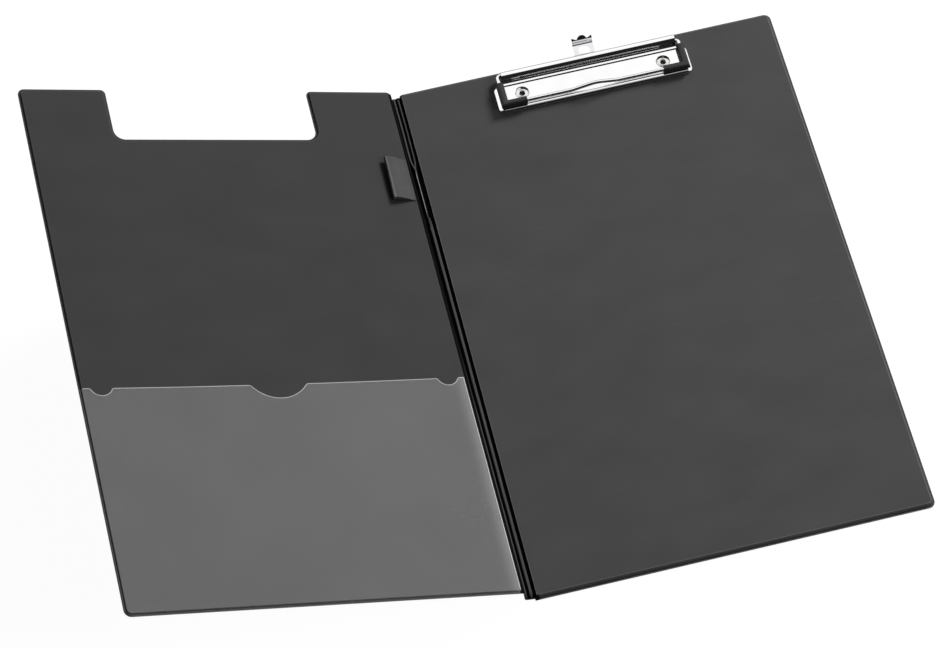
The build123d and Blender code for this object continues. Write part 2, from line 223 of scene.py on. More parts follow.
# Hanging tab
TAB_SHEET = 0.7 * MM
TAB_BASE = BOARD_TOP + 0.15 * MM
TAB_HALF = 6.25 * MM
TAB_HEAD_HALF = 11.0 * MM
TAB_HEAD_END = tab_foot + 5.0 * MM
TAB_HOLE_RADIUS = 3.4 * MM
TAB_HOLE_Y = board_high.y + 1.3 * MM
TAB_BEND_Y = board_high.y + 4.8 * MM
TAB_BEND_RADIUS = 0.6 * MM + TAB_SHEET
TAB_TIP_ANGLE = math.radians(60.0)
TAB_TIP_RELAX = math.radians(7.5) / (5.1 * MM)
TAB_BEND_LENGTH = TAB_BEND_RADIUS * TAB_TIP_ANGLE
TAB_TIP = TAB_BEND_Y + TAB_BEND_LENGTH
TAB_TIP_LENGTH = 2.9 * MM
TAB_CORNER_RISE = 1.2 * MM
TAB_SHOULDER = TAB_HALF - 2.6 * MM
TAB_DOME_RADIUS = 3.0 * MM
TAB_DOME_RISE = 2.2 * MM
TAB_HOLE_STEPS = 48
TAB_DOME_STEPS = 12
TAB_BEND_STEPS = 8
TAB_TIP_STEPS = 5

# Finishes
VINYL_SHINE = 0.16
# Tone of painted highlights, then the darkness and shine of painted shade in creases and grooves
HIGHLIGHT_TONE = 0.38
PAINTED_SHADE_DARKNESS = 0.88
PAINTED_SHADE_SHINE = 0.1 * VINYL_SHINE
# Painted highlight on the film beside the fold: how much, and where
FOLD_HIGHLIGHT = 0.12
FOLD_HIGHLIGHT_FROM = -131.0 * MM
FOLD_HIGHLIGHT_TO = -122.8 * MM
GRAIN_STEP = 0.1 * MM
POLISH_STEP = 0.01 * MM
RUBBER_STEP = 0.05 * MM

# Floor, light and camera
FLOOR_HALF = 4.0
FLOOR_DROP = 0.1 * MM
FLOOR_COLOUR = 0.8
FLOOR_GLOW = 0.88
FLOOR_BRIGHTNESS = 1.1
SKY_STRENGTH = 1.15
SKY_FILL = 0.1
SKY_DARK = 0.012
KEY_POWER = 74.0
FILL_POWER = 12.0
CAMERA_PLACE = Vector((-0.26243, -0.89093, 1.67524))
CAMERA_TARGET = Vector((-0.10834, 0.00763, 0.0))
CAMERA_ROLL = math.radians(-4.2293)
CAMERA_LENS = 125.97


def panel_place(origin, tilt):
    """Place of a panel drawn towards -X of its fold line and raised by tilt."""
    along = Vector((math.cos(tilt), 0, -math.sin(tilt)))
    normal = Vector((math.sin(tilt), 0, math.cos(tilt)))
    turn = Matrix((along, Vector((0, 1, 0)), normal)).transposed()
    return Matrix.Translation(origin) @ turn.to_4x4()


COVER_PLACE = panel_place(COVER_FOLD, COVER_TILT)
BOARD_PLACE = Matrix.Translation(SPINE_FOLD)


def smooth(value):
    """Smooth step from 0 to 1."""
    value = min(1.0, max(0.0, value))
    return value * value * (3 - 2 * value)


# Shader building


def feed(tree, node, inputs):
    """Set a node's inputs to numbers, or link them to sockets."""
    for name, value in inputs.items():
        if isinstance(value, bpy.types.NodeSocket):
            tree.links.new(value, node.inputs[name])
        else:
            node.inputs[name].default_value = value


def add_node(tree, kind, inputs=None, **settings):
    """Add a node with its settings and its inputs."""
    node = tree.nodes.new(kind)
    for name, value in settings.items():
        setattr(node, name, value)
    feed(tree, node, inputs or {})
    return node


def new_group(name, inputs, outputs):
    """Node group with named float inputs and outputs; returns the tree and its two end nodes."""
    tree = bpy.data.node_groups.new(name, "ShaderNodeTree")
    for label, value in inputs.items():
        socket = tree.interface.new_socket(label, in_out="INPUT", socket_type="NodeSocketFloat")
        socket.default_value = value
    for label in outputs:
        tree.interface.new_socket(label, in_out="OUTPUT", socket_type="NodeSocketFloat")
    return tree, tree.nodes.new("NodeGroupInput"), tree.nodes.new("NodeGroupOutput")


def use_group(tree, group, **inputs):
    """Place a shared group in a material."""
    return add_node(tree, "ShaderNodeGroup", inputs, node_tree=group)


def new_material(name):
    """Material with a Principled shader; returns the material, its tree and the shader."""
    material = bpy.data.materials.new(name)
    material.use_nodes = True
    tree = material.node_tree
    return material, tree, tree.nodes["Principled BSDF"]


def object_point(tree):
    """Socket with the piece's own coordinates."""
    return add_node(tree, "ShaderNodeTexCoord").outputs["Object"]


def painted_light_points(tree, layer):
    """Socket with a mark that the piece's points carry: painted highlight or painted shade."""
    settings = {"attribute_type": "GEOMETRY", "attribute_name": layer}
    return add_node(tree, "ShaderNodeAttribute", **settings).outputs["Fac"]


def maths(tree, operation, first, second=0.0, clamp=False):
    """Socket with one arithmetic step."""
    inputs = {0: first, 1: second}
    return add_node(tree, "ShaderNodeMath", inputs, operation=operation, use_clamp=clamp).outputs[0]


def vector_maths(tree, operation, inputs):
    """Socket with one step on vectors."""
    return add_node(tree, "ShaderNodeVectorMath", inputs, operation=operation).outputs[0]


def as_vector(tree, x, y, z):
    """Socket with three numbers as one vector."""
    return add_node(tree, "ShaderNodeCombineXYZ", {"X": x, "Y": y, "Z": z}).outputs[0]


def weighted_sum(tree, *terms):
    """Socket with the sum of terms (value, weight)."""
    scaled = [maths(tree, "MULTIPLY", value, weight) for value, weight in terms]
    total = scaled[0]
    for term in scaled[1:]:
        total = maths(tree, "ADD", total, term)
    return total


def remap(tree, value, low, high, to_low=0.0, to_high=1.0, **settings):
    """Socket with a value carried from one range to another."""
    inputs = {"Value": value, "From Min": low, "From Max": high, "To Min": to_low, "To Max": to_high}
    return add_node(tree, "ShaderNodeMapRange", inputs, **settings).outputs["Result"]


def stretched(tree, point, scale, turn=(0, 0, 0)):
    """Socket with the coordinates stretched and turned."""
    inputs = {"Vector": point, "Scale": scale, "Rotation": turn}
    return add_node(tree, "ShaderNodeMapping", inputs).outputs["Vector"]


def cloud(tree, point, scale, detail=2.0, roughness=0.5):
    """Socket with soft noise."""
    inputs = {"Vector": point, "Scale": scale, "Detail": detail, "Roughness": roughness}
    return add_node(tree, "ShaderNodeTexNoise", inputs).outputs["Fac"]


def bumped(tree, height, strength, distance=GRAIN_STEP):
    """Socket with the normal of a bumped surface."""
    inputs = {"Height": height, "Strength": strength, "Distance": distance}
    return add_node(tree, "ShaderNodeBump", inputs).outputs["Normal"]


def blend_colours(tree, amount, first, second):
    """Socket with two colours mixed by a mask."""
    mix = add_node(tree, "ShaderNodeMix", {"Factor": amount}, data_type="RGBA")
    slots = [socket for socket in mix.inputs if socket.type == "RGBA"]
    for slot, value in zip(slots, (first, second)):
        if isinstance(value, bpy.types.NodeSocket):
            tree.links.new(value, slot)
        else:
            slot.default_value = (*value, 1.0)
    return [socket for socket in mix.outputs if socket.type == "RGBA"][0]


def grey(value):
    """Neutral colour of one brightness."""
    return (value, value, value)


def seen_directly(tree):
    """Socket that is 1 for camera rays, reflections and what is seen through film, else 0."""
    rays = add_node(tree, "ShaderNodeLightPath").outputs
    seen = maths(tree, "MAXIMUM", rays["Is Camera Ray"], rays["Is Glossy Ray"])
    return maths(tree, "MAXIMUM", seen, rays["Is Transmission Ray"])


def make_grain_group():
    """Fine leather grain of pressed vinyl, with soft puckers: height, tone and gloss."""
    sizes = {"Pebble": 900.0, "Pucker": 45.0}
    tree, given, put = new_group("VinylGrain", sizes, ["Height", "Tone", "Gloss"])
    point = object_point(tree)
    wander = cloud(tree, point, scale=260.0)
    offset = {0: as_vector(tree, wander, wander, wander), "Scale": 1.2 * MM}
    shifted = vector_maths(tree, "ADD", {0: point, 1: vector_maths(tree, "SCALE", offset)})
    inputs = {"Vector": shifted, "Scale": given.outputs["Pebble"], "Smoothness": 0.6}
    pebbles = add_node(tree, "ShaderNodeTexVoronoi", inputs, feature="SMOOTH_F1").outputs["Distance"]
    fine = cloud(tree, point, scale=1600.0, roughness=0.6)
    drawn = stretched(tree, point, (0.5, 1.0, 1.0))
    pucker = cloud(tree, drawn, given.outputs["Pucker"], detail=3.0)
    tone = weighted_sum(tree, (pucker, 0.6), (fine, 0.4))
    patches = cloud(tree, point, scale=30.0, detail=3.0)
    gloss = maths(tree, "ADD", maths(tree, "MULTIPLY", pebbles, 0.5), patches)
    made = {
        "Height": weighted_sum(tree, (pebbles, -0.6), (fine, 0.25), (pucker, 0.9)),
        "Tone": remap(tree, tone, 0.3, 0.7),
        "Gloss": remap(tree, gloss, 0.3, 1.0),
    }
    feed(tree, put, made)
    return tree


def make_rub_group():
    """Short pale rub marks and wrinkles, few and faint: tone and height."""
    tree, given, put = new_group("RubMarks", {"Amount": 0.5}, ["Tone", "Height"])
    point = object_point(tree)
    drawn = stretched(tree, point, (60.0, 600.0, 600.0), turn=(0, 0, 0.08))
    lines = remap(tree, cloud(tree, drawn, scale=1.0, roughness=0.6), 0.58, 0.72)
    places = remap(tree, cloud(tree, point, scale=14.0, detail=1.0), 0.55, 0.7)
    marks = maths(tree, "MULTIPLY", lines, places)
    marks = maths(tree, "MULTIPLY", marks, given.outputs["Amount"])
    feed(tree, put, {"Tone": marks, "Height": marks})
    return tree


def make_plating_group():
    """Polished plating: hairline scratches and smudges, as roughness, height and tone."""
    scales = {"Along": 30.0, "Across": 2400.0}
    tree, given, put = new_group("PlatedPolish", scales, ["Roughness", "Height", "Tone"])
    point = object_point(tree)
    across = given.outputs["Across"]
    scale = as_vector(tree, given.outputs["Along"], across, across)
    drawn = vector_maths(tree, "MULTIPLY", {0: point, 1: scale})
    smudge = cloud(tree, point, scale=120.0, detail=3.0, roughness=0.55)
    made = {
        "Roughness": remap(tree, smudge, 0.35, 0.75),
        "Height": cloud(tree, drawn, scale=1.0, roughness=0.6),
        "Tone": remap(tree, smudge, 0.3, 0.8),
    }
    feed(tree, put, made)
    return tree


def make_vinyl(name, dark, light, roughness, grain_depth, rub, highlight):
    """Black vinyl sheet with fine grain, uneven gloss, rub marks, painted highlights on marked edges and
    crests, and painted shade in marked creases and grooves.
    """
    material, tree, shader = new_material(name)
    grain = use_group(tree, GRAIN).outputs
    marks = use_group(tree, RUB, Amount=rub).outputs
    tone = maths(tree, "ADD", grain["Tone"], marks["Tone"], clamp=True)
    colour = blend_colours(tree, tone, grey(dark), grey(light))
    # Painted highlight: marked points are blended towards a pale grey.
    highlighted = maths(tree, "MULTIPLY", painted_light_points(tree, "PaintedHighlight"), highlight)
    colour = blend_colours(tree, highlighted, colour, grey(HIGHLIGHT_TONE))
    # Painted shade: marked points are darkened towards black and lose their shine.
    painted_shade = painted_light_points(tree, "PaintedShade")
    shade_depth = maths(tree, "MULTIPLY", painted_shade, PAINTED_SHADE_DARKNESS)
    height = maths(tree, "ADD", grain["Height"], marks["Height"])
    looks = {
        "Base Color": blend_colours(tree, shade_depth, colour, grey(0.0)),
        "Specular IOR Level": remap(tree, painted_shade, 0.0, 1.0, VINYL_SHINE, PAINTED_SHADE_SHINE),
        "Roughness": remap(tree, grain["Gloss"], 0.0, 1.0, roughness - 0.05, roughness + 0.07),
        "Normal": bumped(tree, height, grain_depth),
    }
    feed(tree, shader, looks)
    return material


def make_film(name, alpha, haze_low, haze_high):
    """Frosted clear film: a milky haze over the black sheet behind, made paler beside the fold as a painted
    highlight.
    """
    material, tree, shader = new_material(name)
    point = object_point(tree)
    haze = cloud(tree, point, scale=24.0, detail=3.0)
    speck = cloud(tree, point, scale=1200.0, roughness=0.6)
    tone = remap(tree, weighted_sum(tree, (haze, 0.7), (speck, 0.3)), 0.3, 0.7)
    near_fold = add_node(tree, "ShaderNodeSeparateXYZ", {"Vector": point}).outputs["X"]
    # Painted highlight: the film is made paler beside the fold by a higher alpha.
    glow = remap(tree, near_fold, FOLD_HIGHLIGHT_FROM, FOLD_HIGHLIGHT_TO)
    glow = maths(tree, "MULTIPLY", maths(tree, "MULTIPLY", glow, glow), FOLD_HIGHLIGHT)
    looks = {
        "Base Color": blend_colours(tree, tone, grey(haze_low), grey(haze_high)),
        "Roughness": remap(tree, haze, 0.2, 0.8, 0.34, 0.46),
        "Normal": bumped(tree, speck, strength=0.12),
        "Alpha": maths(tree, "ADD", glow, alpha),
    }
    feed(tree, shader, looks)
    return material


def make_plating(name, colour, roughness, wear, along, across):
    """Bright plated steel, with its hairlines' scales along and across the piece."""
    material, tree, shader = new_material(name)
    polish = use_group(tree, PLATING, Along=along, Across=across).outputs
    dulled = [0.94 * channel for channel in colour]
    looks = {
        "Base Color": blend_colours(tree, polish["Tone"], colour, dulled),
        "Roughness": remap(tree, polish["Roughness"], 0.0, 1.0, roughness, roughness + wear),
        "Normal": bumped(tree, polish["Height"], 0.04, POLISH_STEP),
        "Metallic": 1.0,
    }
    feed(tree, shader, looks)
    return material


def make_rubber():
    """Moulded black rubber, matte with a dusty bloom."""
    material, tree, shader = new_material("black_rubber")
    point = object_point(tree)
    bloom = cloud(tree, point, scale=220.0, detail=3.0)
    fine = cloud(tree, point, scale=2600.0, roughness=0.6)
    looks = {
        "Base Color": blend_colours(tree, remap(tree, bloom, 0.35, 0.7), grey(0.016), grey(0.026)),
        "Roughness": remap(tree, bloom, 0.3, 0.7, 0.5, 0.64),
        "Normal": bumped(tree, fine, 0.2, RUBBER_STEP),
    }
    feed(tree, shader, looks)
    return material


def make_greyboard():
    """Pressed grey board with short fibres."""
    material, tree, shader = new_material("greyboard")
    point = object_point(tree)
    drawn = stretched(tree, point, (900.0, 300.0, 900.0), turn=(0, 0, 0.6))
    fibre = cloud(tree, drawn, scale=1.0, detail=3.0, roughness=0.65)
    speck = cloud(tree, point, scale=700.0, detail=3.0, roughness=0.7)
    tone = remap(tree, maths(tree, "MULTIPLY", fibre, speck), 0.15, 0.4)
    looks = {
        "Base Color": blend_colours(tree, tone, (0.26, 0.24, 0.21), (0.42, 0.40, 0.36)),
        "Roughness": remap(tree, speck, 0.3, 0.7, 0.8, 0.95),
        "Normal": bumped(tree, fibre, strength=0.4),
    }
    feed(tree, shader, looks)
    return material


GRAIN = make_grain_group()
RUB = make_rub_group()
PLATING = make_plating_group()
BOARD_VINYL = make_vinyl("board_vinyl", 0.054, 0.067, roughness=0.48, grain_depth=0.24, rub=0.7, highlight=0.8)
# The cover's vinyl is the board's vinyl painted darker: painted shade on the raised cover.
COVER_VINYL_SHADED = make_vinyl("cover_vinyl_shaded", 0.0325, 0.0395, roughness=0.5, grain_depth=0.22, rub=0.5, highlight=0.2)
BACK_VINYL = make_vinyl("back_vinyl", 0.045, 0.058, roughness=0.45, grain_depth=0.3, rub=0.3, highlight=0.0)
SPINE_VINYL = make_vinyl("spine_vinyl", 0.05, 0.062, roughness=0.4, grain_depth=0.12, rub=0.3, highlight=0.7)
LOOP_VINYL = make_vinyl("loop_vinyl", 0.042, 0.066, roughness=0.42, grain_depth=0.15, rub=0.8, highlight=0.36)
FROSTED_FILM = make_film("frosted_film", alpha=0.101, haze_low=0.52, haze_high=0.6)
# Paler copy of the film for its cut edges: a painted highlight.
FILM_EDGE_HIGHLIGHT = make_film("film_edge_highlight", alpha=0.4, haze_low=0.7, haze_high=0.8)
CHROME = make_plating("chrome_sheet", (0.88, 0.88, 0.89), 0.04, wear=0.05, along=30.0, across=900.0)
TAB_CHROME = make_plating("chrome_tab", (0.76, 0.76, 0.77), 0.06, wear=0.06, along=200.0, across=900.0)
CHROME_WIRE = make_plating("chrome_wire", (0.86, 0.86, 0.87), 0.06, wear=0.08, along=200.0, across=200.0)
NICKEL = make_plating("nickel_rivet", (0.80, 0.79, 0.77), 0.1, wear=0.14, along=900.0, across=900.0)
RUBBER = make_rubber()
GREYBOARD = make_greyboard()


# Mesh building


def put_in_scene(name, data):
    """New object in the scene."""
    thing = bpy.data.objects.new(name, data)
    bpy.context.scene.collection.objects.link(thing)
    return thing


def finish_piece(bm, name, nodes, material, sharp_over=SHEET_EDGE):
    """Write a shape to an object at the origin that stands for its solids."""
    mesh = bpy.data.meshes.new(name)
    bm.to_mesh(mesh)
    bm.free()
    mesh.shade_smooth()
    mesh.set_sharp_from_angle(angle=math.radians(sharp_over))
    mesh.materials.append(material)
    piece = put_in_scene(name, mesh)
    if nodes:
        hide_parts(*nodes)
    return piece


def thicken(bm, thickness):
    """Give an open sheet its thickness."""
    bmesh.ops.solidify(bm, geom=bm.faces[:], thickness=thickness)


def carry(bm, place):
    """Move a shape to its place."""
    bmesh.ops.transform(bm, matrix=place, verts=bm.verts)


def agree_normals(bm):
    """Make the faces look to the same side."""
    bmesh.ops.recalc_face_normals(bm, faces=bm.faces)


def face_sheet(bm, up):
    """Make an open sheet look up, or down."""
    agree_normals(bm)
    lean = sum(face.normal.z * face.calc_area() for face in bm.faces)
    if (lean > 0) != up:
        bmesh.ops.reverse_faces(bm, faces=bm.faces)


def cut_across(bm, point, normal, **cleared):
    """Cut a whole shape by a plane, and clear the named side."""
    whole = bm.verts[:] + bm.edges[:] + bm.faces[:]
    bmesh.ops.bisect_plane(bm, geom=whole, plane_co=point, plane_no=normal, **cleared)


def drop_slivers(bm):
    """Dissolve edges too short to see."""
    bmesh.ops.dissolve_degenerate(bm, dist=CLOSE, edges=bm.edges[:])


def widest_face(bm):
    """Face with the largest area."""
    return max(bm.faces, key=lambda face: face.calc_area())


def edges_in(made):
    """Edges among what an operator put out."""
    return [part for part in made if isinstance(part, bmesh.types.BMEdge)]


def extruded(bm, edges):
    """Extrude edges; returns the new points and the new edges between them."""
    made = bmesh.ops.extrude_edge_only(bm, edges=edges)["geom"]
    verts = [part for part in made if isinstance(part, bmesh.types.BMVert)]
    return verts, [edge for edge in edges_in(made) if all(vert in verts for vert in edge.verts)]


def round_verts(bm, verts, radius, steps):
    """Round flat corners."""
    shape = {"offset": radius, "offset_type": "OFFSET", "segments": steps, "profile": 0.5}
    bmesh.ops.bevel(bm, geom=verts, affect="VERTICES", material=-1, **shape)


def outline_face(bm, corners, height):
    """Flat face through corners (x, y, radius), each rounded by its radius."""
    verts = [bm.verts.new((x, y, height)) for x, y, radius in corners]
    bm.faces.new(verts)
    for vert, corner in zip(verts, corners):
        radius = corner[2]
        if radius > 0:
            round_verts(bm, [vert], radius, CORNER_STEPS)
    bm.faces.ensure_lookup_table()
    return bm.faces[0]


def inset(bm, face, inward, up=0.0):
    """Inset a face and raise it; returns the faces round it."""
    shape = {"thickness": inward, "depth": up, "use_even_offset": True, "use_boundary": True}
    return bmesh.ops.inset_region(bm, faces=[face], **shape)["faces"]


def press_steps(bm, face, steps):
    """Shape a face's rim by steps of (inward, along its normal)."""
    for inward, up in steps:
        inset(bm, face, inward, up)


def rounded_rise(rise):
    """Steps of a leaning wall that rounds over to a flat top."""
    wall = rise - PANEL_ROUNDING
    steps = [(wall * WALL_LEAN, wall)]
    for i in range(ROUNDING_STEPS):
        start = 0.5 * math.pi * i / ROUNDING_STEPS
        end = 0.5 * math.pi * (i + 1) / ROUNDING_STEPS
        inward = PANEL_ROUNDING * (math.cos(start) - math.cos(end))
        up = PANEL_ROUNDING * (math.sin(end) - math.sin(start))
        steps.append((inward, up))
    steps.append((CREST_WIDTH, 0.0))
    return steps


def panel_corners(fold_x, far_x, half_length, radius):
    """Corners of a plain panel, square at its fold's foot, counter-clockwise."""
    corners = [
        (far_x, -half_length, radius),
        (fold_x, -half_length, 0.0),
        (fold_x, half_length, BOARD_FOLD_CORNER),
        (far_x, half_length, radius),
    ]
    return corners if far_x < fold_x else corners[::-1]


def cover_corners():
    """Corners of the cover, with the clip notch in its top edge."""
    floor = COVER_HALF - NOTCH_DEPTH
    return [
        (-COVER_WIDTH, -COVER_HALF, CORNER_RADIUS),
        (0.0, -COVER_HALF, 0.0),
        (0.0, COVER_HALF, COVER_FOLD_CORNER),
        (-NOTCH_NEAR, COVER_HALF, NOTCH_MOUTH_RADIUS),
        (-NOTCH_NEAR, floor, NOTCH_FLOOR_RADIUS),
        (-NOTCH_FAR, floor, NOTCH_FLOOR_RADIUS),
        (-NOTCH_FAR, COVER_HALF, NOTCH_MOUTH_RADIUS),
        (-COVER_WIDTH, COVER_HALF, CORNER_RADIUS),
    ]


# Board and cover


def shift_fold_side(bm, fold_x, inwards, margin):
    """Move the border's weld line beside the fold to its own margin."""
    shift = WELD_WIDTH - margin
    for vert in bm.verts:
        reach = (vert.co.x - fold_x) * inwards
        if reach < WELD_WIDTH:
            reach *= margin / WELD_WIDTH
        else:
            reach -= shift * (1 - smooth((reach - WELD_WIDTH) / MARGIN_FADE))
        vert.co.x = fold_x + inwards * reach


def mark_painted_light(bm, rim, height, inwards):
    """Mark painted highlights on the rims and along the raised part's edge, and painted shade in the crease at
    the fold.
    """
    highlight = bm.verts.layers.float.new("PaintedHighlight")
    shade_layer = bm.verts.layers.float.new("PaintedShade")
    flat = {vert for vert in bm.verts if abs(vert.co.z - height) < CLOSE}
    foot = min(vert.co.y for vert in bm.verts)
    for vert in bm.verts:
        # Painted highlight on the foot edge, the rims and the crest line.
        if vert.co.y < foot + CLOSE:
            vert[highlight] = FOOT_HIGHLIGHT
        elif vert in rim or abs(vert.co.z - SHEET) < CLOSE and vert.is_boundary:
            vert[highlight] = RIM_HIGHLIGHT
        elif vert in flat and any(edge.other_vert(vert) not in flat for edge in vert.link_edges):
            vert[highlight] = CREST_HIGHLIGHT
        # Painted shade on the sloping part beside the fold, where no highlight is painted.
        if vert not in flat and vert.co.x * inwards < PAINTED_SHADE_REACH + 0.1 * CREST_WIDTH:
            vert[shade_layer] = 1.0
            vert[highlight] = 0.0


def formed_sheet(bm, corners, rise, inwards, margin):
    """Inner sheet: flat welded border, a weld line, and the part raised over the greyboard."""
    face = outline_face(bm, corners, SHEET)
    rim = set(face.verts)
    weld = [(WELD_WIDTH - 2 * WELD_GROOVE, 0.0), (WELD_GROOVE, -WELD_DEPTH), (WELD_GROOVE, WELD_DEPTH)]
    press_steps(bm, face, weld + rounded_rise(rise - SHEET))
    shift_fold_side(bm, 0.0, inwards, margin)
    # Cuts that bound the painted shade beside the fold.
    for reach in (PAINTED_SHADE_REACH, PAINTED_SHADE_REACH + CREST_WIDTH):
        cut_across(bm, (inwards * reach, 0, 0), (1, 0, 0))
    drop_slivers(bm)
    mark_painted_light(bm, rim, rise, inwards)
    thicken(bm, SHEET)


def make_board_writing_sheet():
    """Writing side of the board."""
    bm = bmesh.new()
    width = board_high.x - board_low.x
    corners = panel_corners(0.0, width, board_high.y, CORNER_RADIUS)
    formed_sheet(bm, corners, BOARD_RISE, 1.0, BOARD_FOLD_MARGIN)
    carry(bm, BOARD_PLACE)
    piece = finish_piece(bm, "board_writing_sheet", ["rear_inner_skin"], BOARD_VINYL)
    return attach(piece, "board")


def make_cover_inside_sheet():
    """Inside of the cover."""
    bm = bmesh.new()
    formed_sheet(bm, cover_corners(), COVER_RISE, -1.0, COVER_FOLD_MARGIN)
    carry(bm, COVER_PLACE)
    piece = finish_piece(bm, "cover_inside_sheet", ["cover_inner_skin"], COVER_VINYL_SHADED)
    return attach(piece, "cover")


def outer_sheet(bm, corners, height):
    """Outer sheet, facing down, with the weld line pressed along its border."""
    face = outline_face(bm, corners, height)
    face.normal_flip()
    weld = [(WELD_WIDTH - BACK_GROOVE, 0.0), (BACK_GROOVE, -BACK_DEPTH), (BACK_GROOVE, BACK_DEPTH)]
    press_steps(bm, face, weld + [(CREST_WIDTH, 0.0)])
    return face


def ring_edges(bm, centre, radius, height, steps):
    """Circle of edges, flat at a height."""
    place = Matrix.Translation((centre[0], centre[1], height))
    made = bmesh.ops.create_circle(bm, segments=steps, radius=radius, matrix=place)
    return list({edge for vert in made["verts"] for edge in vert.link_edges})


def pierce(bm, face, rings, normal):
    """Fill a face again around rings of edges that become holes in it."""
    border = list(face.edges)
    bmesh.ops.delete(bm, geom=[face], context="FACES_ONLY")
    edges = border + [edge for ring in rings for edge in ring]
    bmesh.ops.triangle_fill(bm, use_beauty=True, use_dissolve=False, edges=edges, normal=normal)


def draw_in(bm, edges, centre, steps):
    """Extrude a ring of edges through steps of (radius, height)."""
    for radius, height in steps:
        verts, edges = extruded(bm, edges)
        for vert in verts:
            reach = Vector((vert.co.x - centre[0], vert.co.y - centre[1]))
            reach = reach.normalized() * radius
            vert.co = Vector((centre[0] + reach.x, centre[1] + reach.y, height))


def rivet_centres():
    """Places of the two rivets."""
    return [(side * RIVET_SPACING / 2, RIVET_Y) for side in (-1, 1)]


def seat_rivets(bm, face, radius, height, normal, steps):
    """Open a face around both rivets, and draw each opening in by steps of (radius, height)."""
    centres = rivet_centres()
    rings = [ring_edges(bm, centre, radius, height, SEAT_STEPS) for centre in centres]
    pierce(bm, face, rings, normal)
    for centre, ring in zip(centres, rings):
        draw_in(bm, ring, centre, steps)


def make_board_back_sheet():
    """Back of the board, drawn in under the rivet heads."""
    bm = bmesh.new()
    half_width = board_high.x
    corners = panel_corners(-half_width, half_width, board_high.y, CORNER_RADIUS)
    face = outer_sheet(bm, corners, 0.0)
    shift_fold_side(bm, -half_width, 1.0, BOARD_FOLD_MARGIN)
    steps = [(HEAD_POCKET, HEAD_POCKET_EASE), (HEAD_POCKET, HEAD_POCKET_DEPTH), (RIVET_HOLE, HEAD_POCKET_DEPTH)]
    seat_rivets(bm, face, HEAD_POCKET + HEAD_POCKET_EASE, 0.0, (0, 0, -1), steps)
    face_sheet(bm, up=False)
    thicken(bm, SHEET)
    piece = finish_piece(bm, "board_back_sheet", ["rear_outer_skin"], BACK_VINYL)
    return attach(piece, "board")


def make_cover_outside_sheet():
    """Outside of the cover."""
    bm = bmesh.new()
    outer_sheet(bm, cover_corners(), -SHEET)
    shift_fold_side(bm, 0.0, -1.0, COVER_FOLD_MARGIN)
    thicken(bm, SHEET)
    carry(bm, COVER_PLACE)
    piece = finish_piece(bm, "cover_outside_sheet", ["cover_outer_skin"], BACK_VINYL)
    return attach(piece, "cover")


# Spine: crumpled inner sheet and plain outer sheet, sagging between the two fold lines


def spine_y(across, along):
    """Y of a point of the spine's sheets; across runs from the cover's fold to the board's."""
    low = SPINE_FOOT[0] + (SPINE_FOOT[1] - SPINE_FOOT[0]) * across
    high = SPINE_TOP[0] + (SPINE_TOP[1] - SPINE_TOP[0]) * across
    return low + (high - low) * along


def between(y, low, high, fade):
    """1 between two places along Y, easing to 0 within fade of them."""
    return smooth((y - low) / fade) * smooth((high - y) / fade)


def ridge(x, y, centre, half_width, height, fullness, low, high, fade):
    """One lengthwise ridge: steep sides and a flattened top, between two places along Y."""
    across = abs(x - centre) / half_width
    if across >= 1:
        return 0.0
    window = between(y, low - 0.5 * fade, high + 0.5 * fade, fade)
    return height * (1 - across**fullness) ** RIDGE_ROUNDNESS * window


def beside_board(x, y):
    """Height of the ridge that runs from the foot to the pen loop."""
    shape = {"centre": -1.9 * MM, "half_width": 1.25 * MM, "height": 2.1 * MM, "fullness": 3.2}
    return ridge(x, y, low=-200.0 * MM, high=LOOP_LOW - 1.0 * MM, fade=5.0 * MM, **shape)


def beside_wall(x, y):
    """Height of the low ridge that fades out halfway up."""
    shape = {"centre": -4.7 * MM, "half_width": 0.85 * MM, "height": 2.1 * MM, "fullness": 2.4}
    return ridge(x, y, low=-200.0 * MM, high=-30.0 * MM, fade=150.0 * MM, **shape)


def loop_pleat(x, y):
    """Height of the sharp pleat beside the pen loop."""
    shape = {"centre": PLEAT_X, "half_width": 0.75 * MM, "height": 2.4 * MM, "fullness": 1.5}
    return ridge(x, y, low=LOOP_LOW, high=LOOP_HIGH, fade=3.0 * MM, **shape)


def forked_ridges(x, y):
    """Height of the two ridges that part above the pen loop."""
    parted = smooth((y - LOOP_HIGH + 1.0 * MM) / (9.0 * MM))
    span = {"low": LOOP_HIGH - 1.0 * MM, "high": 200.0 * MM, "fade": 3.0 * MM, "fullness": 2.0}
    left = PLEAT_X - 1.4 * MM * parted
    right = PLEAT_X + 1.2 * MM * parted
    far = ridge(x, y, centre=left, half_width=1.05 * MM, height=2.3 * MM, **span)
    near = ridge(x, y, centre=right, half_width=0.95 * MM, height=1.7 * MM, **span)
    return max(far, near)


def waver(y, line, frequency):
    """Slow wandering along Y, from -1 to 1."""
    return noise.noise(Vector((line, y * frequency, 0.0)))


def spine_floor_height(x, y):
    """Top of the inner sheet between the board and the cover's wall, x from the fold line."""
    x += RIDGE_WANDER * waver(y, 1.0, 45.0) * smooth(abs(x) / FOLD_EASE)
    sway = 1 + RIDGE_SWAY * waver(y, 5.0, 60.0)
    height = beside_board(x, y) + beside_wall(x, y) + loop_pleat(x, y) + forked_ridges(x, y)
    crumple = CRUMPLE * smooth(1 - abs(y - CRUMPLE_Y) / CRUMPLE_REACH)
    wrinkle = noise.noise(Vector((x * 1300.0, y * 700.0, 3.0)))
    height += crumple * wrinkle * smooth(abs(x) / FOLD_EASE)
    freed = between(y, SPINE_FOOT[1], SPINE_TOP[1], END_EASE)
    held = WELDED_SHARE + (1 - WELDED_SHARE) * freed
    return FLOOR_REST + FLOOR_SLOPE * abs(x) + max(0.0, height * sway) * held


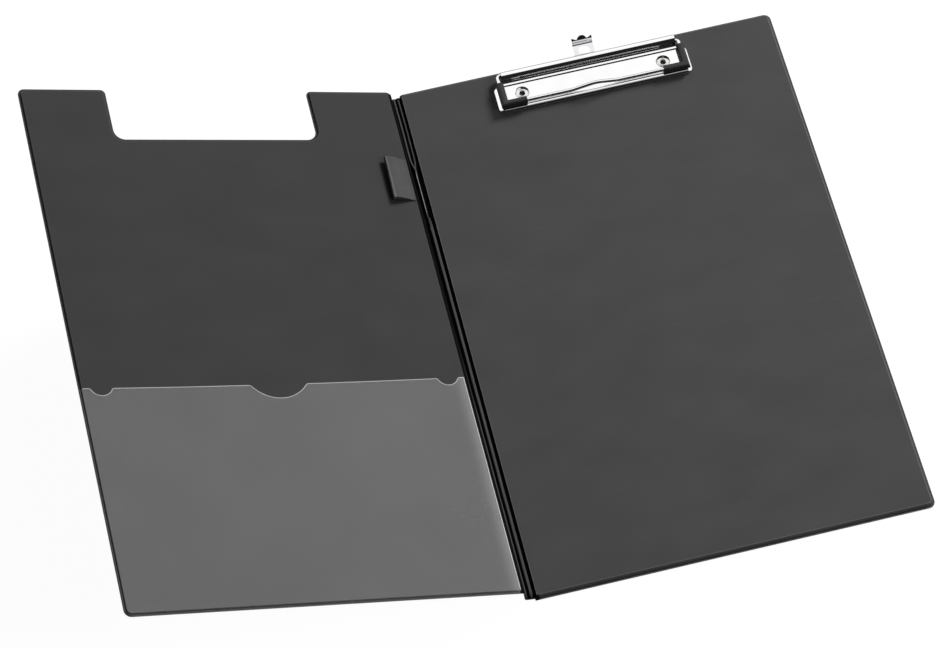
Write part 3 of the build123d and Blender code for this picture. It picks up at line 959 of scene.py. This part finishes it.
def spine_floor_point(across, along):
    """Point of the inner sheet from the lower part of the cover's wall to the board's fold."""
    foot = -FLOOR_END
    if across < FOOT_SHARE:
        share = across / FOOT_SHARE
        y = spine_y(SEAM_SHARE, along)
        low = spine_floor_height(foot, y)
        x = foot - WALL_OFFSET * smooth(1 - share)
        z = WALL_SEAM + (low - WALL_SEAM) * share
        return Vector((SPINE_FOLD.x + x, y, z))
    share = (across - FOOT_SHARE) / (1 - FOOT_SHARE)
    y = spine_y(SEAM_SHARE + (1 - SEAM_SHARE) * share, along)
    x = foot * (1 - share)
    return Vector((SPINE_FOLD.x + x, y, spine_floor_height(x, y)))


def spine_wall_point(across, along):
    """Point of the inner sheet from the cover's fold down to the seam in the wall."""
    top = COVER_PLACE @ Vector((0, 0, SHEET))
    bend = Vector((SPINE_FOLD.x - FLOOR_END - WALL_OFFSET, 0, top.z - 0.9 * MM))
    seam = Vector((bend.x, 0, WALL_SEAM))
    turn = 0.4
    if across < turn:
        share = across / turn
        corner = Vector((bend.x, 0, top.z - 0.1 * MM))
        point = top.lerp(corner, share).lerp(corner.lerp(bend, share), share)
    else:
        point = bend.lerp(seam, (across - turn) / (1 - turn))
    return Vector((point.x, spine_y(SEAM_SHARE * across, along), point.z))


def draped_grid(columns, rows, position):
    """Grid laid at position(across, along), both from 0 to 1."""
    bm = bmesh.new()
    bmesh.ops.create_grid(bm, x_segments=columns, y_segments=rows, size=0.5)
    for vert in bm.verts:
        vert.co = position(vert.co.x + 0.5, vert.co.y + 0.5)
    return bm


def make_spine_floor():
    """Inner sheet beside the board, turning with the spine."""
    bm = draped_grid(FLOOR_COLUMNS, SPINE_ROWS, spine_floor_point)
    shade_layer = bm.verts.layers.float.new("PaintedShade")
    highlight = bm.verts.layers.float.new("PaintedHighlight")
    for vert in bm.verts:
        lift = smooth((vert.co.z - FLOOR_REST - 0.5 * MM) / (1.5 * MM))
        inside = smooth((vert.co.x - SPINE_FOLD.x + FLOOR_END) / (0.3 * MM))
        beside_loop = between(vert.co.y, LOOP_LOW, LOOP_HIGH, END_EASE)
        # Painted shade on the grooves and low parts; painted highlight on the ridge tops beside the pen loop.
        vert[shade_layer] = 1 - lift * inside
        vert[highlight] = beside_loop * smooth((vert.co.z - 2.4 * MM) / (0.5 * MM)) * inside
    thicken(bm, SPINE_SHEET)
    nodes = ["spine_inner_skin"]
    piece = finish_piece(bm, "spine_inside_sheet", nodes, SPINE_VINYL, SOFT_EDGE)
    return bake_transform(piece)


def make_spine_wall():
    """Inner sheet up to the cover's fold."""
    bm = draped_grid(WALL_COLUMNS, COARSE_ROWS, spine_wall_point)
    shade_layer = bm.verts.layers.float.new("PaintedShade")
    for vert in bm.verts:
        # The whole wall is painted dark: painted shade.
        vert[shade_layer] = 1.0
    thicken(bm, SPINE_SHEET)
    piece = finish_piece(bm, "spine_fold_sheet", [], SPINE_VINYL, SOFT_EDGE)
    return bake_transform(piece)


def outer_spine_path(share):
    """Point across the outer sheet, 0 at the board's fold and 1 at the cover's, on its hidden side."""
    foot = Vector((SPINE_FOLD.x, 0, 0.28 * MM))
    corner = Vector((SPINE_FOLD.x - 5.75 * MM, 0, 0.32 * MM))
    top = COVER_PLACE @ Vector((0, 0, -0.02 * MM))
    turn = 0.12
    knee = 0.42
    if share < knee - turn:
        return foot.lerp(corner, share / knee)
    if share > knee + turn:
        return corner.lerp(top, (share - knee) / (1 - knee))
    before = foot.lerp(corner, (knee - turn) / knee)
    after = corner.lerp(top, turn / (1 - knee))
    along = (share - knee + turn) / (2 * turn)
    return before.lerp(corner, along).lerp(corner.lerp(after, along), along)


def make_outer_spine(name, start_share, end_share, nodes):
    """Part of the spine's outer sheet, from one share of its path to another."""

    def position(across, along):
        share = start_share + (end_share - start_share) * across
        point = outer_spine_path(share)
        return Vector((point.x, spine_y(1 - share, along), point.z))

    bm = draped_grid(OUTER_COLUMNS, COARSE_ROWS, position)
    thicken(bm, -SPINE_SHEET)
    agree_normals(bm)
    piece = finish_piece(bm, name, nodes, BACK_VINYL, SOFT_EDGE)
    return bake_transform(piece)


def make_outer_spine_sheets():
    """Outer sheet of the spine in two parts that meet in the wall."""
    meeting = 0.7
    nodes = ["spine_outer_skin"]
    make_outer_spine("spine_outside_sheet", 0.0, meeting, nodes)
    make_outer_spine("spine_outside_fold_sheet", meeting, 1.0, [])


# Film pocket and pen loop, drawn on the cover


def edge_between(first, second):
    """Edge that joins two points."""
    return [edge for edge in first.link_edges if second in edge.verts][0]


def mouth_edges(bm):
    """Edges along the pocket's straight mouth."""
    return [edge for edge in bm.edges if all(abs(vert.co.y - POCKET_MOUTH) < CLOSE for vert in edge.verts)]


def cut_mouth(bm, centre, radius, depth):
    """Bend a stretch of the mouth into a round cut, and ease the corners at its ends."""
    crossed = []
    for edge in mouth_edges(bm):
        if min(vert.co.x for vert in edge.verts) < centre < max(vert.co.x for vert in edge.verts):
            crossed.append(edge)
    reach = math.sqrt(radius * radius - (radius - depth) ** 2)
    start, end = sorted(crossed[0].verts, key=lambda vert: vert.co.x)
    low = centre - reach
    high = centre + reach
    left = bmesh.utils.edge_split(crossed[0], start, (low - start.co.x) / (end.co.x - start.co.x))[1]
    right = bmesh.utils.edge_split(edge_between(left, end), left, (high - low) / (end.co.x - low))[1]
    bmesh.ops.subdivide_edges(bm, edges=[edge_between(left, right)], cuts=CUT_STEPS)
    lips = []
    for vert in bm.verts:
        across = abs(vert.co.x - centre)
        if abs(vert.co.y - POCKET_MOUTH) > CLOSE:
            continue
        if abs(across - reach) < CLOSE:
            lips.append(vert)
        elif across < reach:
            vert.co.y = POCKET_MOUTH - depth + radius - math.sqrt(radius * radius - across * across)
    round_verts(bm, lips, CUT_LIP, CUT_LIP_STEPS)


def bow_mouth(bm):
    """Let the mouth's line sag between its ends."""
    bmesh.ops.subdivide_edges(bm, edges=mouth_edges(bm), cuts=BOW_CUTS)
    for vert in bm.verts:
        if vert.co.y > POCKET_MOUTH - 1.2 * THUMB_DEPTH:
            across = 2 * vert.co.x / COVER_WIDTH + 1
            vert.co.y -= POCKET_BOW * (1 - across * across)


def mark_edge_highlight(bm):
    """Give the film's two cut edges a paler finish, a painted highlight."""
    for face in inset(bm, widest_face(bm), FILM_EDGE):
        middle = face.calc_center_median()
        if middle.y > POCKET_MOUTH - 2 * THUMB_DEPTH or middle.x > -FILM_NEAR - FILM_EDGE:
            face.material_index = 1


def make_pocket_film():
    """Frosted film over the cover's lower part, with a thumb cut and two corner cuts."""
    bm = bmesh.new()
    half = COVER_HALF - FILM_BORDER
    corners = panel_corners(0.0, FILM_BORDER - COVER_WIDTH, half, CORNER_RADIUS - FILM_BORDER)
    face = outline_face(bm, corners, SHEET + FILM)
    inset(bm, face, WELD_WIDTH - FILM_BORDER - FILM)
    press_steps(bm, face, rounded_rise(COVER_RISE - SHEET))
    cut_across(bm, (0, POCKET_MOUTH, 0), (0, 1, 0), clear_outer=True)
    cut_across(bm, (-FILM_NEAR, 0, 0), (1, 0, 0), clear_outer=True)
    cut_mouth(bm, -COVER_WIDTH / 2, THUMB_RADIUS, THUMB_DEPTH)
    for centre in (-CORNER_CUT_INSET, CORNER_CUT_INSET - COVER_WIDTH):
        cut_mouth(bm, centre, CORNER_CUT_RADIUS, CORNER_CUT_DEPTH)
    bow_mouth(bm)
    mark_edge_highlight(bm)
    thicken(bm, FILM - FILM_GAP)
    carry(bm, COVER_PLACE)
    piece = finish_piece(bm, "pocket_film_sheet", ["pocket_film"], FROSTED_FILM)
    piece.data.materials.append(FILM_EDGE_HIGHLIGHT)
    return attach(piece, "cover")


def loop_path():
    """Line across the pen loop, (distance from the fold, height), from its lower to its upper root."""
    face = COVER_RISE
    half = LOOP_SHEET / 2
    points = [(2.4 * MM, face + half), (5.2 * MM, face + half)]
    points += [(10.6 * MM, face + 1.0 * MM), (16.0 * MM, face + 1.9 * MM)]
    for i in range(LOOP_NOSE_STEPS + 1):
        turn = math.radians(-70 + 160 * i / LOOP_NOSE_STEPS)
        x = LOOP_NOSE.x + LOOP_NOSE_REACH.x * math.cos(turn)
        points.append((x, LOOP_NOSE.y + LOOP_NOSE_REACH.y * math.sin(turn)))
    points += [(13.4 * MM, face + 4.15 * MM), (9.8 * MM, face + 3.15 * MM), (6.6 * MM, face + 1.7 * MM)]
    points += [(5.0 * MM, face + 1.0 * MM - half * 0.5), (2.4 * MM, face + 3 * half)]
    return points


def rounded_path(points, passes):
    """Corner-cut line through points, ends kept."""
    line = [Vector(point) for point in points]
    for i in range(passes):
        cut = [line[0]]
        for first, second in zip(line, line[1:]):
            cut += [first.lerp(second, 0.25), first.lerp(second, 0.75)]
        line = cut + [line[-1]]
    return line


def along_path(line, share):
    """Point at a share of a line's length."""
    lengths = [(second - first).length for first, second in zip(line, line[1:])]
    left = share * sum(lengths)
    for first, second, length in zip(line, line[1:], lengths):
        if left <= length:
            return first.lerp(second, left / length)
        left -= length
    return line[-1].copy()


def make_pen_loop():
    """Loop of folded sheet, welded along its root, with a hem line at each end."""
    line = rounded_path(loop_path(), 2)

    def position(across, along):
        point = along_path(line, across)
        swing = 2 * along - 1
        lift = smooth((point.x - 5.5 * MM) / (6.0 * MM))
        hem = smooth((abs(swing) - HEM_FROM) / HEM_EASE) - smooth((abs(swing) - HEM_TO) / HEM_EASE)
        height = point.y + LOOP_WARP * lift * math.sin(2.2 * swing + 0.4) + HEM_RISE * hem
        reach = point.x - LOOP_SWING * lift * swing
        return Vector((-reach, LOOP_CENTRE + LOOP_HALF_WIDTH * swing, height))

    bm = draped_grid(LOOP_COLUMNS, LOOP_ROWS, position)
    highlight = bm.verts.layers.float.new("PaintedHighlight")
    for vert in bm.verts:
        # Painted highlight along the loop's nose.
        vert[highlight] = 0.5 * smooth((-vert.co.x - 15.8 * MM) / (0.8 * MM))
    agree_normals(bm)
    thicken(bm, LOOP_SHEET)
    agree_normals(bm)
    carry(bm, COVER_PLACE)
    piece = finish_piece(bm, "pen_loop_strip", ["pen_loop"], LOOP_VINYL)
    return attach(piece, "cover")


# Clip: pressed plate with its rolled tube, rivets, wire, grips and tab


def make_clip_plate():
    """Plate with a sloping lip, rivet seats and the rolled tube, pressed from one sheet."""
    bm = bmesh.new()
    half = plate_high.x
    places = [(-half, plate_low.y), (half, plate_low.y), (half, PLATE_REAR), (-half, PLATE_REAR)]
    face = outline_face(bm, [(x, y, PLATE_CORNER) for x, y in places], BOARD_TOP)
    rise = PLATE_TOP - BOARD_TOP
    lip = [(0.03 * MM, 0.48 * rise), (0.12 * MM, 0.1 * rise), (0.25 * MM, 0.08 * rise)]
    lip += [(2.0 * MM, 0.25 * rise), (0.12 * MM, 0.07 * rise), (0.3 * MM, 0.02 * rise)]
    press_steps(bm, face, lip)
    drop = PLATE_TOP - SEAT_FLOOR
    seat = [(4.15 * MM, PLATE_TOP - 0.08 * drop), (3.9 * MM, PLATE_TOP - 0.3 * drop)]
    seat += [(3.4 * MM, SEAT_FLOOR + 0.2 * drop), (3.15 * MM, SEAT_FLOOR + 0.03 * drop)]
    seat += [(2.9 * MM, SEAT_FLOOR), (RIVET_HOLE, SEAT_FLOOR)]
    seat_rivets(bm, face, SEAT_MOUTH_RADIUS, PLATE_TOP, (0, 0, 1), seat)
    open_rear(bm)
    roll_tube(bm)
    face_sheet(bm, up=True)
    thicken(bm, PLATE_SHEET)
    piece = finish_piece(bm, "clip_plate_pressing", ["clip_base_plate"], CHROME, STEEL_EDGE)
    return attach(piece, "board")


def open_rear(bm):
    """Cut the plate's rear wall away between its ears."""
    cut_across(bm, (0, REAR_CUT, 0), (0, 1, 0))
    for side in (-1, 1):
        cut_across(bm, (side * TUBE_HALF, 0, 0), (1, 0, 0))
        cut_across(bm, (side * (TUBE_HALF + REAR_GAP), 0, 0), (1, 0, 0))
    gone = []
    for face in bm.faces:
        middle = face.calc_center_median()
        if middle.y > REAR_CUT and abs(middle.x) < TUBE_HALF + REAR_GAP:
            gone.append(face)
    bmesh.ops.delete(bm, geom=gone, context="FACES")


def curl(bm, parts, centre, degrees, steps):
    """Carry a sheet's edge on round a line along X; returns its last place."""
    turn = {"cent": centre, "axis": (1, 0, 0), "angle": math.radians(degrees), "steps": steps}
    return bmesh.ops.spin(bm, geom=parts, use_duplicate=False, **turn)["geom_last"]


def roll_tube(bm):
    """Carry the plate's rear edge on into the tube, round it, and out to the flared tail."""
    edges = []
    for edge in bm.edges:
        on_cut = all(abs(vert.co.y - REAR_CUT) < CLOSE for vert in edge.verts)
        middle = sum(vert.co.x for vert in edge.verts) / 2
        if on_cut and edge.is_boundary and abs(middle) < TUBE_HALF:
            edges.append(edge)
    verts, edges = extruded(bm, edges)
    for vert in verts:
        vert.co.y = TUBE_AXIS.y
    rolled = curl(bm, edges + verts, TUBE_AXIS, 270, TUBE_STEPS)
    flare_centre = TUBE_AXIS - Vector((0, TUBE_RADIUS - PLATE_SHEET + FLARE_RADIUS, 0))
    flared = curl(bm, rolled, flare_centre, -90, FLARE_STEPS)
    verts, edges = extruded(bm, edges_in(flared))
    bmesh.ops.translate(bm, verts=verts, vec=(0, -TAIL_LENGTH, 0))


def lathe(bm, section, centre, steps):
    """Turn a closed section of (radius, height) points about an upright axis."""
    verts = [bm.verts.new((centre[0] + radius, centre[1], height)) for radius, height in section]
    edges = [bm.edges.new(pair) for pair in zip(verts, verts[1:] + verts[:1])]
    turn = {"cent": (*centre, 0), "axis": (0, 0, 1), "angle": math.tau, "steps": steps}
    bmesh.ops.spin(bm, geom=verts + edges, use_merge=True, use_duplicate=False, **turn)
    agree_normals(bm)


def rivet_section():
    """Half section of a tubular rivet: flat head behind, rolled rim in the seat."""
    bore = 1.5 * MM
    shank = 2.0 * MM
    head = 4.0 * MM
    low = 0.05 * MM
    ease = 0.1 * MM
    under_head = 0.4 * MM
    rim_middle = 2.17 * MM
    rim_half = 0.68 * MM
    rim_height = 0.75 * MM
    rim_base = SEAT_FLOOR + 0.02 * MM
    section = [(bore, low), (head - ease, low), (head, low + ease), (head, under_head)]
    section += [(shank, under_head), (shank, SEAT_FLOOR)]
    for i in range(RIM_STEPS + 1):
        turn = math.pi * i / RIM_STEPS
        section.append((rim_middle + rim_half * math.cos(turn), rim_base + rim_height * math.sin(turn)))
    return section


def make_rivets():
    """Two tubular rivets."""
    for name, centre in zip(("left_rivet", "right_rivet"), rivet_centres()):
        bm = bmesh.new()
        lathe(bm, rivet_section(), centre, RIVET_STEPS)
        nodes = ["clip_rivets"]
        piece = finish_piece(bm, name, nodes, NICKEL)
        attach(piece, "board")


def filleted(points, radii, steps=10):
    """Path through points with its corners rounded by radii."""
    path = [points[0]]
    for before, here, after, radius in zip(points, points[1:], points[2:], radii):
        back = (before - here).normalized()
        ahead = (after - here).normalized()
        half = back.angle(ahead) / 2
        reach = radius / math.tan(half)
        middle = (back + ahead).normalized()
        centre = here + middle * (radius / math.sin(half))
        start = here + back * reach - centre
        end = here + ahead * reach - centre
        turn = start.angle(end)
        for i in range(steps + 1):
            share = i / steps
            first = math.sin((1 - share) * turn) / math.sin(turn)
            second = math.sin(share * turn) / math.sin(turn)
            path.append(centre + start * first + end * second)
    return path + [points[-1]]


def tube_piece(path, radius, name):
    """Closed round tube along a path, as a mesh shape."""
    curve = bpy.data.curves.new(name, "CURVE")
    curve.dimensions = "3D"
    curve.bevel_depth = radius
    curve.bevel_resolution = WIRE_ROUNDNESS
    curve.use_fill_caps = True
    spline = curve.splines.new("POLY")
    spline.points.add(len(path) - 1)
    for point, place in zip(spline.points, path):
        point.co = (*place, 1.0)
    holder = bpy.data.objects.new(name, curve)
    mesh = bpy.data.meshes.new_from_object(holder)
    bm = bmesh.new()
    bm.from_mesh(mesh)
    bpy.data.objects.remove(holder)
    bpy.data.meshes.remove(mesh)
    bmesh.ops.remove_doubles(bm, verts=bm.verts, dist=CLOSE)
    agree_normals(bm)
    return bm


def make_wire_bail():
    """Spring wire: two ends side by side in the tube, two legs, and a bar with its arch."""
    z = TUBE_AXIS.z
    left_y = TUBE_AXIS.y + WIRE_PAIR_OFFSET
    right_y = TUBE_AXIS.y - WIRE_PAIR_OFFSET
    points = [
        Vector((WIRE_END, left_y, z)),
        Vector((-LEG_X, left_y, z)),
        Vector((-LEG_X, BAR_Y, z)),
        Vector((-ARCH_HALF, BAR_Y, z)),
        Vector((0, BAR_Y, z + ARCH_RISE)),
        Vector((ARCH_HALF, BAR_Y, z)),
        Vector((LEG_X, BAR_Y, z)),
        Vector((LEG_X, right_y, z)),
        Vector((-WIRE_END, right_y, z)),
    ]
    path = filleted(points, [WIRE_BEND] * 2 + [ARCH_BEND] * 3 + [WIRE_BEND] * 2)
    bm = tube_piece(path, WIRE_RADIUS, "wire_path")
    piece = finish_piece(bm, "spring_wire", ["wire_bail"], CHROME_WIRE, SOFT_EDGE)
    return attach(piece, "bail")


def sleeve_arm(corner, direction, length, mitre):
    """Half of a corner sleeve: a round bar cut at the mitre plane, hollowed at its open end."""
    bm = bmesh.new()
    over = 3 * GRIP_RADIUS
    turn = Vector((0, 0, 1)).rotation_difference(direction).to_matrix().to_4x4()
    place = Matrix.Translation(corner + direction * ((length - over) / 2)) @ turn
    size = {"radius1": GRIP_RADIUS, "radius2": GRIP_RADIUS, "depth": length + over}
    bmesh.ops.create_cone(bm, cap_ends=True, segments=GRIP_STEPS, matrix=place, **size)
    cap = [face for face in bm.faces if len(face.verts) > 4 and face.normal.dot(direction) > 0.9]
    press_steps(bm, cap[0], [(0.25 * MM, 0.12 * MM), (0.9 * MM, 0.0), (0.05 * MM, -1.2 * MM)])
    cut_across(bm, corner, mitre, clear_inner=True)
    return bm


def make_grip(side, name, node):
    """Rubber sleeve over one corner of the wire."""
    corner = Vector((side * LEG_X, BAR_Y, TUBE_AXIS.z))
    rear = Vector((0, 1, 0))
    inner = Vector((-side, 0, 0))
    bm = sleeve_arm(corner, rear, GRIP_SIDE, (rear - inner).normalized())
    front = sleeve_arm(corner, inner, GRIP_FRONT, (inner - rear).normalized())
    holder = bpy.data.meshes.new("arm")
    front.to_mesh(holder)
    front.free()
    bm.from_mesh(holder)
    bpy.data.meshes.remove(holder)
    bmesh.ops.remove_doubles(bm, verts=bm.verts, dist=5 * CLOSE)
    agree_normals(bm)
    piece = finish_piece(bm, name, [node], RUBBER, RUBBER_EDGE)
    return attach(piece, "bail")


def tab_outline():
    """Outline of the flat tab: wide head, straight sides, pointed corners and a round top."""
    end = TAB_TIP + TAB_TIP_LENGTH
    dome_centre = end + TAB_DOME_RISE - TAB_DOME_RADIUS
    half_turn = math.asin((end - dome_centre) / TAB_DOME_RADIUS)
    right = [(TAB_HEAD_HALF, tab_foot), (TAB_HEAD_HALF, TAB_HEAD_END), (TAB_HALF, TAB_HEAD_END)]
    right += [(TAB_HALF, end + TAB_CORNER_RISE), (TAB_SHOULDER, end)]
    dome = []
    for i in range(TAB_DOME_STEPS + 1):
        turn = half_turn + (math.pi - 2 * half_turn) * i / TAB_DOME_STEPS
        dome.append((TAB_DOME_RADIUS * math.cos(turn), dome_centre + TAB_DOME_RADIUS * math.sin(turn)))
    left = [(-x, y) for x, y in right]
    return left[:1] + right + dome + left[:0:-1]


def bend_tip(bm):
    """Bend the tab's end up, with its tip easing back."""
    for vert in bm.verts:
        beyond = vert.co.y - TAB_BEND_Y
        if beyond > 0:
            turn = min(beyond / TAB_BEND_RADIUS, TAB_TIP_ANGLE)
            straight = max(0.0, beyond - TAB_BEND_LENGTH)
            lean = turn - TAB_TIP_RELAX * straight
            vert.co.y = TAB_BEND_Y + TAB_BEND_RADIUS * math.sin(turn) + straight * math.cos(lean)
            vert.co.z = TAB_BASE + TAB_BEND_RADIUS * (1 - math.cos(turn)) + straight * math.sin(lean)


def make_hanging_tab():
    """Tab with its hanging hole and its tip bent up."""
    bm = bmesh.new()
    face = bm.faces.new([bm.verts.new((x, y, TAB_BASE)) for x, y in tab_outline()])
    ring = ring_edges(bm, (0, TAB_HOLE_Y), TAB_HOLE_RADIUS, TAB_BASE, TAB_HOLE_STEPS)
    pierce(bm, face, [ring], (0, 0, 1))
    cuts = [TAB_BEND_Y + TAB_BEND_LENGTH * i / TAB_BEND_STEPS for i in range(TAB_BEND_STEPS + 1)]
    cuts += [TAB_TIP + TAB_TIP_LENGTH * i / TAB_TIP_STEPS for i in range(1, TAB_TIP_STEPS + 3)]
    for place in cuts:
        cut_across(bm, (0, place, 0), (0, 1, 0))
    drop_slivers(bm)
    face_sheet(bm, up=True)
    bend_tip(bm)
    thicken(bm, -TAB_SHEET)
    agree_normals(bm)
    piece = finish_piece(bm, "hanging_tab_sheet", ["hanger_tab"], TAB_CHROME, STEEL_EDGE)
    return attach(piece, "hanger")


def dress_cores():
    """Give the greyboard panels their finish."""
    for node in ("rear_board_core", "cover_board_core"):
        mesh = frame["nodes"][node].data
        mesh.materials.clear()
        mesh.materials.append(GREYBOARD)


# Floor, light and camera


def make_floor():
    """Pale floor: white to the eye and in reflections, keeping the object's soft shadow."""
    bm = bmesh.new()
    bmesh.ops.create_grid(bm, x_segments=1, y_segments=1, size=FLOOR_HALF)
    bmesh.ops.translate(bm, verts=bm.verts, vec=(0, 0, -FLOOR_DROP))
    mesh = bpy.data.meshes.new("studio_floor")
    bm.to_mesh(mesh)
    bm.free()
    material, tree, shader = new_material("pale_floor")
    tree.nodes.remove(shader)
    lit = add_node(tree, "ShaderNodeBsdfDiffuse", {"Color": (*grey(FLOOR_COLOUR), 1.0)})
    glow = add_node(tree, "ShaderNodeEmission", {"Strength": FLOOR_BRIGHTNESS})
    share = maths(tree, "MULTIPLY", seen_directly(tree), FLOOR_GLOW)
    mix = add_node(tree, "ShaderNodeMixShader", {0: share, 1: lit.outputs[0], 2: glow.outputs[0]})
    feed(tree, tree.nodes["Material Output"], {"Surface": mix.outputs[0]})
    mesh.materials.append(material)
    floor = put_in_scene("studio_floor", mesh)


def make_sky():
    """Studio surround: bright behind and above, dark on the viewer's side, and a faint fill light."""
    world = bpy.data.worlds.new("studio")
    bpy.context.scene.world = world
    world.use_nodes = True
    tree = world.node_tree
    direction = add_node(tree, "ShaderNodeTexCoord").outputs["Generated"]
    parts = add_node(tree, "ShaderNodeSeparateXYZ", {"Vector": direction}).outputs
    level = maths(tree, "ADD", parts["Y"], maths(tree, "MULTIPLY", parts["Z"], 0.12))
    level = maths(tree, "ADD", level, maths(tree, "MULTIPLY", parts["X"], 0.3))
    bright = remap(tree, level, -0.06, 0.14, SKY_DARK, 1.0, interpolation_type="SMOOTHSTEP")
    above = remap(tree, parts["Z"], 0.28, 0.4)
    behind = remap(tree, parts["Y"], 0.82, 0.9, 1.0, 0.3)
    radiance = maths(tree, "MULTIPLY", bright, maths(tree, "MAXIMUM", above, behind))
    looks = {
        "Color": as_vector(tree, radiance, radiance, radiance),
        "Strength": remap(tree, seen_directly(tree), 0.0, 1.0, SKY_FILL, SKY_STRENGTH),
    }
    feed(tree, tree.nodes["Background"], looks)


def make_softbox(name, direction, distance, side, power):
    """Square soft light aimed at the folder, not seen in reflections."""
    lamp = bpy.data.lights.new(name, "AREA")
    lamp.shape = "RECTANGLE"
    lamp.size = side
    lamp.size_y = side
    lamp.energy = power
    holder = put_in_scene(name, lamp)
    holder.location = Vector(direction).normalized() * distance
    holder.rotation_euler = (-holder.location).to_track_quat("-Z", "Y").to_euler()
    holder.visible_glossy = False


def make_camera():
    """Camera at the photograph's viewpoint."""
    lens = bpy.data.cameras.new("viewpoint")
    lens.sensor_width = 36.0
    lens.lens = CAMERA_LENS
    lens.clip_end = 20.0
    camera = put_in_scene("viewpoint", lens)
    camera.location = CAMERA_PLACE
    aim = (CAMERA_TARGET - CAMERA_PLACE).to_track_quat("-Z", "Y")
    camera.rotation_euler = (aim.to_matrix() @ Matrix.Rotation(CAMERA_ROLL, 3, "Z")).to_euler()
    bpy.context.scene.camera = camera


make_camera()
make_sky()
make_softbox("key_softbox", (0.66, 0.54, 0.52), distance=2.4, side=0.68, power=KEY_POWER)
make_softbox("front_fill", (0.6, -0.45, 0.65), distance=1.8, side=0.6, power=FILL_POWER)
make_floor()
dress_cores()
make_board_writing_sheet()
make_board_back_sheet()
make_cover_inside_sheet()
make_cover_outside_sheet()
make_spine_floor()
make_spine_wall()
make_outer_spine_sheets()
make_pocket_film()
make_pen_loop()
make_clip_plate()
make_rivets()
make_wire_bail()
make_grip(-1, "left_grip_sleeve", "left_corner_grip")
make_grip(1, "right_grip_sleeve", "right_corner_grip")
make_hanging_tab()

bpy.context.scene.view_settings.view_transform = "Standard"
